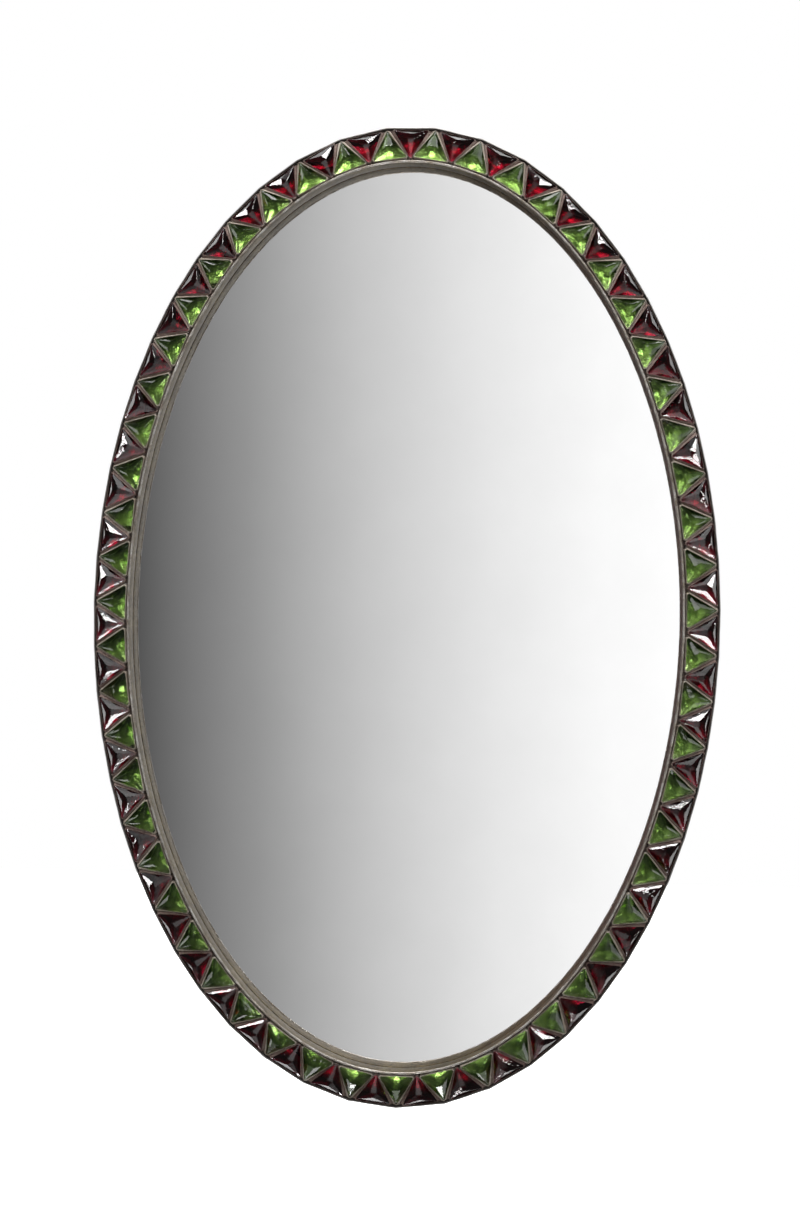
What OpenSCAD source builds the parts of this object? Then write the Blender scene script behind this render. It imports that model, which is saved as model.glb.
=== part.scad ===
// Oval wall mirror with a frame of triangular cut-glass jewels set in metal bezels.
//
// The frame is drawn lying on its back: x to the right, y up the wall and z forward from
// the wall. The module stand_up() then turns it upright, so that the finished part has
// +Z up, faces -Y, and has its origin on the wall plane behind the middle of the oval.
// Distances "in" are measured inwards from the outline of the frame, square to it.

/* [Overall] */
// Width across the outline of the frame
overall_w = 512; // [420:1:640]
// Height over the outline of the frame
overall_h = 800; // [660:1:1000]
// Distance from the wall to the front of the sight bead
lip_z = 33.2; // [32:0.1:45]

/* [Stones] */
// Distance from the middle of a stone to each of its three sides
stone_inradius = 8.2; // [6:0.05:10]
// How much is cut off the outward point of a green stone
green_point_cut = 0.6; // [0.4:0.1:2]
// How much is cut off the two inner corners of a green stone
green_base_cut = 2.4; // [1.6:0.1:3]
// How much is cut off the inward point of a red stone
red_point_cut = 2.2; // [1.6:0.1:3]
// How much is cut off the two outer corners of a red stone
red_base_cut = 1.6; // [0.8:0.1:3]
// How much further in a green setting stands than a red one
green_set_back = 0.4; // [0.3:0.1:1]
// Room between the settings along the tightest part of the frame
seam = 0.8; // [0.8:0.05:2]
// Height of the straight edge of a stone, up to its bevel
girdle_h = 2.8; // [2:0.1:3.4]
// Width of the bevel around a stone
bevel_w = 1.9; // [1:0.1:2.6]
// Rise of the bevel
bevel_h = 1.7; // [1:0.1:2.4]
// Rise of the facets from the bevel to the table
crown_h = 3.2; // [2:0.1:4.5]
// Distance from the middle of a stone to the points of its small table
table_reach = 2.9; // [1.5:0.1:4]
// Lean of the stones towards the outer edge, in degrees
band_slope = 12; // [3:1:13]

/* [Metalwork] */
// Thickness of the bezel strip around a stone
bezel_wall = 0.65; // [0.4:0.05:0.8]
// Height of the bezels
bezel_h = 4.2; // [3.6:0.1:5]
// Thickness of the sheet that makes the outer band
outer_wall = 1; // [0.8:0.1:1.6]
// Thickness of the sheet that makes the inner band
inner_wall = 0.9; // [0.7:0.1:1.4]
// Thickness of the base ring
base_t = 0.8; // [0.6:0.1:1.2]
// Width of the square wire that makes the sight bead
bead_w = 1.8; // [1.2:0.1:2.4]
// Thickness of the foil under each stone
foil_t = 0.2; // [0.1:0.05:0.3]
// Least depth of the bedding, along its outer edge
bed_t = 0.5; // [0.4:0.1:1]

/* [Mirror and back] */
// Thickness of the mirror plate
mirror_t = 4; // [3:0.5:6]
// How far the mirror plate reaches behind the inner band
mirror_overlap = 8; // [6:0.5:10]
// Thickness of the felt between the mirror plate and the core
felt_t = 0.9; // [0.5:0.1:1.5]
// Thickness of the card between the mirror plate and the backing board
card_t = 0.8; // [0.5:0.1:1.2]
// Thickness of the backing board
board_t = 3; // [2:0.5:4]
// Thickness of the pads that keep the frame off the wall
pad_t = 5; // [4.5:0.1:8]
// Radius of the wall pads
pad_r = 6; // [4:0.5:7]

/* [Turn buttons] */
// Thickness of a turn button
button_t = 1.4; // [1:0.1:1.6]
// Radius of the round end of a turn button, around its screw
button_r = 6; // [5:0.5:7]
// Radius of the tip of a turn button
button_tip_r = 4.5; // [3.5:0.5:5]
// Distance from the screw to the centre of the tip
button_arm = 15; // [13.5:0.5:18]
// Radius of the shank of the turn button screws
button_screw_r = 1.9; // [1.5:0.1:2.2]
// Radius of the head of the turn button screws
button_head_r = 3.6; // [3:0.1:4.2]

/* [Hangers] */
// Radius of the wire of the hanger rings
ring_wire_r = 1.15; // [0.9:0.05:1.2]
// Radius of the bow of the hanger rings, to the middle of the wire
ring_bow_r = 8; // [7:0.5:10]
// Length of the straight legs of the hanger rings
ring_leg = 6; // [5:0.5:7]
// Width of the hanger straps
strap_w = 11; // [9:0.5:11]
// Thickness of the hanger straps
strap_t = 1.2; // [0.8:0.1:1.2]
// Radius of the shank of the hanger screws
strap_screw_r = 1.5; // [1.2:0.1:1.8]
// Radius of the head of the hanger screws
strap_head_r = 3; // [2.5:0.1:3.4]
// Place of the hangers, in degrees around the oval from its top
hanger_angle = 62; // [55:1:70]

/* [Hidden] */
segment_count = 11;
button_count = 6;
// Gap between pieces that only lie against each other
gap = 0.1;
// Gap between the bezels and the bands beside them
side_gap = 0.3;
// Clearance of the core around the mirror plate
edge_gap = 0.4;
// Radial clearance of what turns on a pin
turn_gap = 0.05;
// Radial clearance of the screws in their holes in the wood
pilot_gap = 0.05;

// The oval
half_w = overall_w / 2;
half_h = overall_h / 2;
oval_steps = 240;
table_steps = 720;
// The stones are spaced evenly along a line this far in
pitch_in = 14;
// Sides of everything round
$fn = 32;
// How far a cut runs past the face that it opens
cut_over = 1;

// The band, from the outline inwards
bezel_inradius = stone_inradius + gap + bezel_wall;
bezel_side = bezel_inradius * 2 * sqrt(3);
// A bezel that leans outwards reaches past the outer edge of its foot by lean_out
lean_out = bezel_h * sin(band_slope) - bezel_inradius * (1 - cos(band_slope));
band_in = outer_wall + side_gap + lean_out;
green_in = band_in + green_set_back + 2 * bezel_inradius - green_point_cut;
red_in = band_in + bezel_inradius;
band_run = green_in + bezel_inradius * cos(band_slope) - band_in;
bead_in = band_in + band_run + side_gap;
inner_band_in = bead_in + (bead_w - inner_wall) / 2;
sight_in = inner_band_in + inner_wall;
core_in = inner_band_in - gap;
core_out = outer_wall + gap;
plate_in = sight_in - mirror_overlap;
rebate_in = plate_in - edge_gap;

// The depths, from the wall forwards
board_recess = 0.3;
board_z = pad_t + board_recess;
card_z = board_z + board_t + gap;
mirror_z = card_z + card_t + gap;
felt_z = mirror_z + mirror_t + gap;
rebate_z = felt_z + felt_t + gap;
bead_z = lip_z - bead_w;
slope_rise = band_run * tan(band_slope);
bed_top_out_z = lip_z - gap - bezel_h - slope_rise;
bed_z = bed_top_out_z - bed_t;
base_z = bed_z - gap - base_t;
core_front_z = base_z - gap;
outer_front_z = bed_top_out_z + bezel_h;

// The turn buttons and their screws
button_edge = 2.5;
button_lift = 0.15;
button_in = rebate_in - button_r - button_edge;
button_z = pad_t - button_lift - button_t;
button_head_h = 1.6;
button_screw_bite = 9;
// Three to a side, in degrees around the oval from its top
button_first = 25;
button_step = 65;
button_angles = [
    for (side = [0, 180])
        for (i = [0 : button_count / 2 - 1]) side + button_first + i * button_step
];

// The hangers: the ring turns in a knuckle at the upper end of its strap
knuckle_r = ring_wire_r + turn_gap + strap_t;
hanger_set_in = 0.6;
hanger_in = rebate_in / 2 + hanger_set_in;
strap_len = 25;
strap_screws = [7, 19.5];
strap_head_h = 1.4;
strap_screw_bite = 8;
pad_angles = [45, 135, 225, 315];

function two_digits(i) = str(i < 10 ? "0" : "", i);
segment_names = [for (i = [1 : segment_count]) two_digits(i)];
sides = ["right", "left"];

// A point of the outline, its outward direction and a point further in.
// The angle t runs clockwise from the top.
function outline_point(t) = [half_w * sin(t), half_h * cos(t)];
function outward(t) = let (way = [half_h * sin(t), half_w * cos(t)]) way / norm(way);
function inset_point(t, in) = outline_point(t) - in * outward(t);
// How far a piece is turned when its +y points outwards
function facing(t) = atan2(outward(t)[1], outward(t)[0]) - 90;

// The pitch of the pairs: their inner corners must fit where the oval turns the most
tight_radius = min(half_w * half_w / half_h, half_h * half_h / half_w);
pair_turn = 2 * asin((bezel_side / 2 + seam) / (tight_radius - band_in - band_run));
pair_pitch = (tight_radius - pitch_in) * pair_turn * PI / 180;

// The angle t of a place that is counted in pairs of stones from the top
function table_angle(i) = 360 * i / table_steps;
function table_point(i) = inset_point(table_angle(i), pitch_in);
function table_step(i) = norm(table_point(i + 1) - table_point(i));
run_table = [
    for (i = 0, run = 0; i <= table_steps; run = run + table_step(i), i = i + 1) [run, table_angle(i)]
];
full_run = run_table[table_steps][0];
pair_count = floor(full_run / pair_pitch);
function place_angle(k) = lookup(full_run * k / pair_count, run_table);

// The outline has a flat for each red stone, with its corners at the green ones
function corner(k) = outline_point(place_angle(k + (k < 0 ? pair_count : 0)));
function flat_middle(k) = (corner(k - 0.5) + corner(k + 0.5)) / 2;
function flat_facing(k) = let (run = corner(k + 0.5) - corner(k - 0.5)) atan2(run[1], run[0]);

// Turns a piece drawn on its back upright, to face -Y
module stand_up() {
    rotate([90, 0, 0]) children();
}

// A layer of the frame from one distance from the wall to another
module layer(z0, z1) {
    stand_up() translate([0, 0, z0]) linear_extrude(z1 - z0) children();
}

module oval(in) {
    polygon([for (i = [0 : oval_steps - 1]) inset_point(360 * i / oval_steps, in)]);
}

module flatted_oval(in) {
    polygon([for (k = [0 : pair_count - 1]) inset_point(place_angle(k + 0.5), in)]);
}

// ---- The stones and their settings ----

// A triangle that points to +y, with its corners blunted: cuts holds how much is cut off
// the point and off each of the other two corners
function blunt_triangle(inradius, cuts) = [
    for (a = [90, 210, 330])
        let (cut = cuts[a == 90 ? 0 : 1])
            for (side = [-1, 1])
                (2 * inradius - cut) * [cos(a), sin(a)] + side * cut * tan(30) * [-sin(a), cos(a)]
];
green_cuts = [green_point_cut, green_base_cut];
red_cuts = [red_point_cut, red_base_cut];

function at_height(points, z) = [for (p = points) [p[0], p[1], z]];

// The seat of a red stone: its base lies along a flat of the outline
module red_seat(k) {
    turn = flat_facing(k);
    place = flat_middle(k) - red_in * [-sin(turn), cos(turn)];
    rise = bed_top_out_z + (red_in - band_in) * tan(band_slope);
    stand_up() translate([place[0], place[1], rise])
        rotate([0, 0, turn]) rotate([-band_slope, 0, 0]) rotate([0, 0, 180]) children();
}

// The seat of a green stone: its point lies in a corner of the outline
module green_seat(k) {
    t = place_angle(k + 0.5);
    place = inset_point(t, green_in);
    rise = bed_top_out_z + (green_in - band_in) * tan(band_slope);
    stand_up() translate([place[0], place[1], rise])
        rotate([0, 0, facing(t)]) rotate([-band_slope, 0, 0]) children();
}

// One cut stone: a straight edge, a bevel, a facet for each side and each corner, and a table
module stone(cuts) {
    foot = blunt_triangle(stone_inradius, cuts);
    crown = blunt_triangle(stone_inradius - bevel_w, cuts);
    table = [for (a = [150, 270, 30]) table_reach * [cos(a), sin(a)]];
    foot_z = foil_t + 2 * gap;
    bevel_z = foot_z + girdle_h;
    crown_z = bevel_z + bevel_h;
    points = concat(
        at_height(foot, foot_z),
        at_height(foot, bevel_z),
        at_height(crown, crown_z),
        at_height(table, crown_z + crown_h)
    );
    edges = [for (ring = [0, 6]) for (i = [0 : 5]) ring_quad(ring, i)];
    corners = [for (c = [0 : 2]) [12 + 2 * c, 18 + (c + 2) % 3, 18 + c, 13 + 2 * c]];
    flanks = [for (c = [0 : 2]) [13 + 2 * c, 18 + c, 12 + (2 * c + 2) % 6]];
    polyhedron(points, concat([[0, 1, 2, 3, 4, 5]], edges, corners, flanks, [[20, 19, 18]]));
}

// The face between two neighbouring points of one ring and the ring above it
function ring_quad(ring, i) = let (j = (i + 1) % 6) [ring + i, ring + i + 6, ring + j + 6, ring + j];

module bezel(cuts) {
    translate([0, 0, gap]) linear_extrude(bezel_h - gap) difference() {
        polygon(blunt_triangle(bezel_inradius, cuts));
        polygon(blunt_triangle(stone_inradius + gap, cuts));
    }
}

module foil(cuts) {
    translate([0, 0, gap]) linear_extrude(foil_t) polygon(blunt_triangle(stone_inradius, cuts));
}

// The pairs of stones in one segment of the frame
function segment_start(s) = floor(s * pair_count / segment_count);
function segment_range(s) = [segment_start(s) : segment_start(s + 1) - 1];

module bezels(s) {
    color("rosybrown") for (k = segment_range(s)) {
        red_seat(k) bezel(red_cuts);
        green_seat(k) bezel(green_cuts);
    }
}

module green_stones(s) {
    color("forestgreen") for (k = segment_range(s)) green_seat(k) stone(green_cuts);
}

module red_stones(s) {
    color("darkred") for (k = segment_range(s)) red_seat(k) stone(red_cuts);
}

module green_foils() {
    color("silver") for (k = [0 : pair_count - 1]) green_seat(k) foil(green_cuts);
}

module red_foils() {
    color("silver") for (k = [0 : pair_count - 1]) red_seat(k) foil(red_cuts);
}

// ---- The body of the frame ----

// A wooden ring with a rebate behind for the mirror, and holes for the screws
module core_ring() {
    color("peru") difference() {
        layer(pad_t, core_front_z) difference() {
            flatted_oval(core_out);
            oval(core_in);
        }
        layer(pad_t - cut_over, rebate_z) oval(rebate_in);
        at_buttons() pilot_hole(button_screw_r, button_screw_bite);
        at_hanger_screws() pilot_hole(strap_screw_r, strap_screw_bite);
    }
}

// A screw hole from just behind the core into it
module pilot_hole(screw_r, bite) {
    translate([0, 0, pad_t - cut_over]) cylinder(r = screw_r + pilot_gap, h = bite + cut_over + gap);
}

// The metal floor that the settings are fixed to
module base_ring() {
    color("darkkhaki") layer(base_z, base_z + base_t) difference() {
        flatted_oval(core_out);
        oval(core_in);
    }
}

// Bedding that leans the stones outwards: a ring with a wedge for its section. Its inner
// edge has straight stretches, so it stands off the round core by their rise.
module bed_ring() {
    stations = [for (i = [0 : 2 * pair_count - 1]) i / 2];
    stretch_rise = pair_pitch * pair_pitch / (32 * (tight_radius - core_in));
    bed_in = core_in - stretch_rise;
    points = [
        for (k = stations)
            let (
                out = station_point(k, core_out),
                in = inset_point(place_angle(k), bed_in),
                inner_top = bed_top_z(bed_in - flat_rise(k))
            )
            each [
                [out[0], out[1], bed_z],
                [out[0], out[1], bed_top_z(core_out)],
                [in[0], in[1], inner_top],
                [in[0], in[1], bed_z]
            ]
    ];
    n = len(stations);
    faces = [
        for (i = [0 : n - 1])
            for (j = [0 : 3])
                [4 * i + j, 4 * i + (j + 1) % 4, 4 * ((i + 1) % n) + (j + 1) % 4, 4 * ((i + 1) % n) + j]
    ];
    color("tan") stand_up() polyhedron(points, faces);
}

// The height of the bedding at a distance in from the outline
function bed_top_z(in) = bed_top_out_z - gap + (in - band_in) * tan(band_slope);

// How far the middle of a flat lies inside the oval, and nothing at a corner
function flat_rise(k) = k == floor(k) ? norm(outline_point(place_angle(k)) - flat_middle(k)) : 0;

// A point beside the outline at a corner, or beside the middle of a flat
function station_point(k, in) =
    k == floor(k)
        ? flat_middle(k) - in * [-sin(flat_facing(k)), cos(flat_facing(k))]
        : inset_point(place_angle(k), in);

// The strip around the outside, flat beside each red stone
module outer_band() {
    color("dimgray") layer(pad_t, outer_front_z) difference() {
        flatted_oval(0);
        flatted_oval(outer_wall);
    }
}

// The strip that lines the opening, from the mirror forwards
module inner_band() {
    color("gray") layer(rebate_z, bead_z - gap) difference() {
        oval(inner_band_in);
        oval(sight_in);
    }
}

// The wire along the front edge of the inner band
module sight_bead() {
    color("darkgray") layer(bead_z, lip_z) difference() {
        oval(bead_in);
        oval(bead_in + bead_w);
    }
}

// ---- The mirror and what lies behind it ----

module mirror_felt() {
    color("black") layer(felt_z, felt_z + felt_t) difference() {
        oval(plate_in);
        oval(core_in);
    }
}

module mirror_plate() {
    color("lightsteelblue") layer(mirror_z, mirror_z + mirror_t) oval(plate_in);
}

module mirror_card() {
    color("burlywood") layer(card_z, card_z + card_t) oval(plate_in);
}

module backing_board() {
    color("saddlebrown") layer(board_z, board_z + board_t) oval(plate_in);
}

// ---- Turn buttons ----

// A place on the back of the core, with +y pointing outwards
module at_back(t, in) {
    place = inset_point(t, in);
    stand_up() translate([place[0], place[1], 0]) rotate([0, 0, facing(t)]) children();
}

module at_buttons() {
    for (t = button_angles) at_back(t, button_in) children();
}

module turn_button(i) {
    color("goldenrod") at_back(button_angles[i], button_in) translate([0, 0, button_z])
        linear_extrude(button_t) difference() {
            union() {
                circle(r = button_r);
                translate([-button_tip_r, -button_arm]) square([2 * button_tip_r, button_arm]);
                translate([0, -button_arm]) circle(r = button_tip_r);
            }
            circle(r = button_screw_r + turn_gap);
        }
}

// A screw with its head behind and its shank going forward into the core
module screw(head_z, head_r, head_h, shank_r, bite) {
    translate([0, 0, head_z]) cylinder(r = head_r, h = head_h);
    translate([0, 0, head_z]) cylinder(r = shank_r, h = pad_t + bite - head_z);
}

module turn_button_screws() {
    head_z = button_z - gap - button_head_h;
    color("gold") at_buttons()
        screw(head_z, button_head_r, button_head_h, button_screw_r, button_screw_bite);
}

// ---- Hangers ----

// The axis of a hanger ring: side is 1 on the right and -1 on the left.
// Here +y runs up along the frame and x along the axis.
module at_hanger(side) {
    place = inset_point(hanger_angle, hanger_in);
    turn = facing(hanger_angle) + 90;
    stand_up() translate([side * place[0], place[1], 0]) rotate([0, 0, side * turn]) children();
}

module at_hanger_screws() {
    for (side = [1, -1]) at_hanger(side) for (y = strap_screws) translate([0, -y, 0]) children();
}

module hanger_strap(side) {
    axis_z = pad_t - knuckle_r;
    color("silver") at_hanger(side) difference() {
        union() {
            translate([-strap_w / 2, -strap_len, pad_t - strap_t]) cube([strap_w, strap_len, strap_t]);
            translate([-strap_w / 2, 0, axis_z]) rotate([0, 90, 0]) cylinder(r = knuckle_r, h = strap_w);
        }
        translate([-strap_w, 0, axis_z]) rotate([0, 90, 0])
            cylinder(r = ring_wire_r + turn_gap, h = 2 * strap_w);
        for (y = strap_screws) translate([0, -y, pad_t - 2 * strap_t])
            cylinder(r = strap_screw_r + pilot_gap, h = 3 * strap_t);
    }
}

// A wire ring: a bar through the knuckle, two legs and a round bow
module hanger_ring(side) {
    axis_z = pad_t - knuckle_r;
    color("gainsboro") at_hanger(side) translate([0, 0, axis_z]) {
        translate([-ring_bow_r, 0, 0]) rotate([0, 90, 0]) cylinder(r = ring_wire_r, h = 2 * ring_bow_r);
        for (x = [-ring_bow_r, ring_bow_r]) translate([x, 0, 0]) {
            sphere(r = ring_wire_r);
            rotate([-90, 0, 0]) cylinder(r = ring_wire_r, h = ring_leg);
        }
        translate([0, ring_leg, 0]) rotate_extrude(angle = 180)
            translate([ring_bow_r, 0]) circle(r = ring_wire_r);
    }
}

module hanger_screws() {
    head_z = pad_t - strap_t - strap_head_h;
    color("silver") at_hanger_screws()
        screw(head_z, strap_head_r, strap_head_h, strap_screw_r, strap_screw_bite);
}

module wall_pads() {
    color("darkolivegreen") for (t = pad_angles) at_back(t, button_in) cylinder(r = pad_r, h = pad_t);
}

core_ring();
base_ring();
bed_ring();
outer_band();
inner_band();
sight_bead();
green_foils();
red_foils();
for (s = [0 : segment_count - 1]) {
    bezels(s);
    green_stones(s);
    red_stones(s);
}
mirror_felt();
mirror_plate();
mirror_card();
backing_board();
for (i = [0 : button_count - 1]) {
    turn_button(i);
}
turn_button_screws();
for (i = [0, 1]) {
    hanger_strap(1 - 2 * i);
    hanger_ring(1 - 2 * i);
}
hanger_screws();
wall_pads();
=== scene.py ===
# %% [markdown]
# # An oval wall mirror with a jewelled frame
#
# The real mirror is a small piece of metalwork. Triangles of coloured glass stand in metal
# bezels around an oval opening, and a plain mirror plate lies deep inside it. The frame that
# is loaded here holds every piece as a plain solid at its true place. This lesson leaves the
# flat, simple pieces as they are and gives them a finish, and it makes the glass, the bezels,
# the bands and the fittings again with the detail that a maker's hands leave.

# %% Load the frame
import math

import bmesh
import bpy
import numpy as np
from mathutils import Matrix, Vector


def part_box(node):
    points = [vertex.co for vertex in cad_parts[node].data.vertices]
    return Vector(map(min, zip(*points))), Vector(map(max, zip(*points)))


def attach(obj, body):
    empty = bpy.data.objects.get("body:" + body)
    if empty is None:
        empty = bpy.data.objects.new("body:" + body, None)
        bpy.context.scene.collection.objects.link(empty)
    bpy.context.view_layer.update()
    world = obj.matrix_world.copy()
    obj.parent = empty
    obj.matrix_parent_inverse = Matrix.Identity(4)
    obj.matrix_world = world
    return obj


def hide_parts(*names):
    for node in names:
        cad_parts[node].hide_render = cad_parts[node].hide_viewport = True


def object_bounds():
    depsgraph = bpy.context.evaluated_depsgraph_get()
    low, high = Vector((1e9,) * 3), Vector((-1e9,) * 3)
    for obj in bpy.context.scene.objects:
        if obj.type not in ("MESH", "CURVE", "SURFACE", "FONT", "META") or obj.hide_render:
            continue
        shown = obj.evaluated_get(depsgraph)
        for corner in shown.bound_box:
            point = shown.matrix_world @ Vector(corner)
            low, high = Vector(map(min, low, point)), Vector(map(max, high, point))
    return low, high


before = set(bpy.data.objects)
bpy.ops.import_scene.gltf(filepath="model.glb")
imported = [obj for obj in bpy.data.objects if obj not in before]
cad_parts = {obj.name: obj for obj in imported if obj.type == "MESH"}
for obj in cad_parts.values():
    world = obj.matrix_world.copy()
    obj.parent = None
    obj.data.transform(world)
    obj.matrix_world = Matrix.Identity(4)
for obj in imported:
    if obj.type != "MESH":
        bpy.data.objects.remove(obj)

MM = 0.001
cad_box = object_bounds()
print("the plain model is", [round(float(high - low) / MM, 1) for low, high in zip(*cad_box)], "mm")

# %% [markdown]
# ## The camera
#
# The mirror hangs upright and is looked at from about its own height, a little from the
# right. A longish lens at one and a half metres keeps the oval true and still shows some of
# the inner band on the left, where the line of sight slants into the recess. The frame hangs
# a touch askew, so the camera is rolled by that much the other way.

# %% Camera
CAMERA_DISTANCE = 1.60
CAMERA_SIDE = math.radians(4.0)
CAMERA_ROLL = math.radians(-0.88)
SHOWN_HEIGHT = 0.996
SENSOR = 36.0
LOOK_AT = Vector((-0.0024, cad_box[0].y, 0.0022))

camera_data = bpy.data.cameras.new("camera")
camera = bpy.data.objects.new("camera", camera_data)
bpy.context.scene.collection.objects.link(camera)
camera_data.sensor_width = SENSOR
camera_data.lens = SENSOR * CAMERA_DISTANCE / SHOWN_HEIGHT
away = Vector((math.sin(CAMERA_SIDE), -math.cos(CAMERA_SIDE), 0.0))
camera.location = LOOK_AT + away * CAMERA_DISTANCE
camera.rotation_mode = "QUATERNION"
straight = (-away).to_track_quat("-Z", "Y").to_matrix()
camera.rotation_quaternion = (straight @ Matrix.Rotation(-CAMERA_ROLL, 3, "Z")).to_quaternion()
bpy.context.scene.camera = camera
print("lens", round(camera_data.lens, 1), "mm")

# %% [markdown]
# ## The oval and the seats of the stones
#
# Everything on the front follows one oval. A point of it is found from an angle that runs
# clockwise from the top, and everything else is measured inwards from it, square to the
# outline. The stones sit in pairs, a red one with its base along the outside and a green one
# with its base along the inside, evenly spaced along a line inside the outline. These are
# the same few sizes that the plain model was drawn from, so what is made here drops into
# its place.

# %% The oval
HALF_W, HALF_H = 256 * MM, 400 * MM
PAIRS = 55
PITCH_IN = 14 * MM
FORWARD = np.array((0.0, -1.0, 0.0))


def outline(t):
    return np.array((HALF_W * math.sin(t), HALF_H * math.cos(t)))


def outward(t):
    way = np.array((HALF_H * math.sin(t), HALF_W * math.cos(t)))
    return way / np.linalg.norm(way)


def inset(t, depth):
    return outline(t) - depth * outward(t)


def upright(spot, forward=0.0):
    """A point drawn flat on the oval, stood up in the frame, that far in front of the wall."""
    return np.array((spot[0], -forward, spot[1]))


ANGLES = np.linspace(0, 2 * math.pi, 721)
PITCH_LINE = np.array([inset(t, PITCH_IN) for t in ANGLES])
RUN = np.concatenate(([0.0], np.cumsum(np.linalg.norm(np.diff(PITCH_LINE, axis=0), axis=1))))


def place(k):
    """The angle of a place counted in pairs of stones from the top."""
    return float(np.interp(RUN[-1] * (k % PAIRS) / PAIRS, RUN, ANGLES))


print("once around the stones is", round(RUN[-1] / MM), "mm")
print("a pair of stones has", round(RUN[-1] / PAIRS / MM, 1), "mm")

# %% [markdown]
# ## Sizes of the settings
#
# A setting is a blunt triangle of glass in a metal wall. Its size is the distance from its
# middle to the outside of that wall. The places of both rows could be typed in, but then
# nothing would follow when a size changes. So they are worked out here from the bezel, the cuts
# of its corners and the lean of the settings: red stones rest against the outer band, and green
# ones reach out between them.


# %% Sizes of the settings
BEZEL = 8.95 * MM                    # from the middle of a stone to the outside of its bezel
STONE = BEZEL - 0.4 * MM             # the same for the glass, which fills the bezel
GREEN_CUTS = (0.6 * MM, 2.4 * MM)    # how much is cut off the point and off the other corners
RED_CUTS = (2.2 * MM, 1.6 * MM)
LEAN = math.radians(12)
BEZEL_H = 4.2 * MM
LEAN_OUT = BEZEL_H * math.sin(LEAN) - BEZEL * (1 - math.cos(LEAN))
BAND_IN = 1.3 * MM + LEAN_OUT
RED_IN = BAND_IN + BEZEL
SHARP_GREEN = (0.5 * MM, 1.7 * MM)       # the same cuts on the glass itself
SHARP_RED = (1.5 * MM, 1.1 * MM)
GREEN_IN = BAND_IN + 0.4 * MM + 2 * BEZEL - GREEN_CUTS[0]
BAND_RUN = GREEN_IN + BEZEL * math.cos(LEAN) - BAND_IN
LIP = -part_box("sight_bead")[0].y
BED = LIP - 0.1 * MM - BEZEL_H - BAND_RUN * math.tan(LEAN)
print("red stones lie", round(RED_IN / MM, 1), "mm inside the outline")
print("green stones lie", round(GREEN_IN / MM, 1), "mm inside the outline")

# %% [markdown]
# ## A seat for each stone
#
# A seat is a point with two directions: the way the stone faces and the way its point goes. It
# says all that is needed to put a stone, its foil and its bezel in place. A red seat is square
# to the flat of the outer band beside it, and a green one is square to the oval, because its
# own point is what reaches the outline.


# %% A seat for each stone
def seat(spot, out, depth, points_out):
    """Where a stone stands, the way it faces and the way its point goes."""
    out = upright(out)
    middle = upright(spot, BED + (depth - BAND_IN) * math.tan(LEAN))
    faces = FORWARD * math.cos(LEAN) + out * math.sin(LEAN)
    point = out * math.cos(LEAN) - FORWARD * math.sin(LEAN)
    return middle, faces, point if points_out else -point


def green_seat(k):
    t = place(k + 0.5)
    return seat(inset(t, GREEN_IN), outward(t), GREEN_IN, True)


def red_seat(k):
    start, end = outline(place(k - 0.5)), outline(place(k + 0.5))
    along = (end - start) / np.linalg.norm(end - start)
    out = np.array((-along[1], along[0]))
    return seat((start + end) / 2 - RED_IN * out, out, RED_IN, False)


print("the top red seat is at", (red_seat(0)[0] / MM).round(1), "mm")

# %% [markdown]
# ## Set by hand
#
# No stone sits quite true on the real mirror, and so neighbours catch the light one by one.
# Each stone could be turned as it is placed, but then its bezel and its foil would stay behind.
# So each seat itself is tipped and turned by a small amount, and the bezel, the foil and the
# glass of a stone share it.

# %% Set by hand
TIP, TURN = math.radians(1.6), math.radians(1.0)
hand = np.random.default_rng(11)


def by_hand(one_seat):
    middle, faces, point = one_seat
    across = np.cross(point, faces)
    faces = faces + hand.normal(0, TIP, 2) @ np.array((point, across))
    faces /= np.linalg.norm(faces)
    point = point + across * hand.normal(0, TURN)
    point -= faces * (point @ faces)
    return middle, faces, point / np.linalg.norm(point)


green_seats = [by_hand(green_seat(k)) for k in range(PAIRS)]
red_seats = [by_hand(red_seat(k)) for k in range(PAIRS)]
low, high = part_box("green_stones_01")
first = np.array([middle for middle, _, _ in green_seats[:5]])
print("first five green seats", (first.min(0) / MM).round(1), (first.max(0) / MM).round(1),
      "inside their node", [round(x / MM, 1) for x in (*low, *high)])

# %% [markdown]
# ## Helpers for node trees
#
# Geometry Nodes and materials are both built from nodes and links. A node could be added and
# linked line by line, but then the shape of a tree is lost among its wires. These short
# helpers add a node with its inputs set or linked, and write the sums that come up often.


# %% Node helpers
def add(tree, kind, settings=None, **inputs):
    """Adds a node. An input named in_2 is set by its place, and others by their name."""
    node = tree.nodes.new(kind)
    for key, value in (settings or {}).items():
        setattr(node, key, value)
    for key, value in inputs.items():
        key = int(key[3:]) if key.startswith("in_") else key.replace("_", " ")
        if isinstance(value, bpy.types.NodeSocket):
            tree.links.new(value, node.inputs[key])
        else:
            node.inputs[key].default_value = value
    return node


def calc(tree, operation, a, b=0.0):
    return add(tree, "ShaderNodeMath", {"operation": operation}, in_0=a, in_1=b).outputs[0]


def vector_calc(tree, operation, a, b=(0, 0, 0)):
    return add(tree, "ShaderNodeVectorMath", {"operation": operation}, in_0=a, in_1=b).outputs[0]


def scaled(tree, vector, size):
    node = add(tree, "ShaderNodeVectorMath", {"operation": "SCALE"}, in_0=vector)
    if isinstance(size, bpy.types.NodeSocket):
        tree.links.new(size, node.inputs["Scale"])
    else:
        node.inputs["Scale"].default_value = size
    return node.outputs[0]


# %% [markdown]
# ## Meshes from points
#
# What isn't made by a tree is written down point by point, and from_pydata turns points, edges
# and faces into a mesh. It is the plainest way that Blender has, and it is enough for a loop, a
# section or a closed part.


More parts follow.
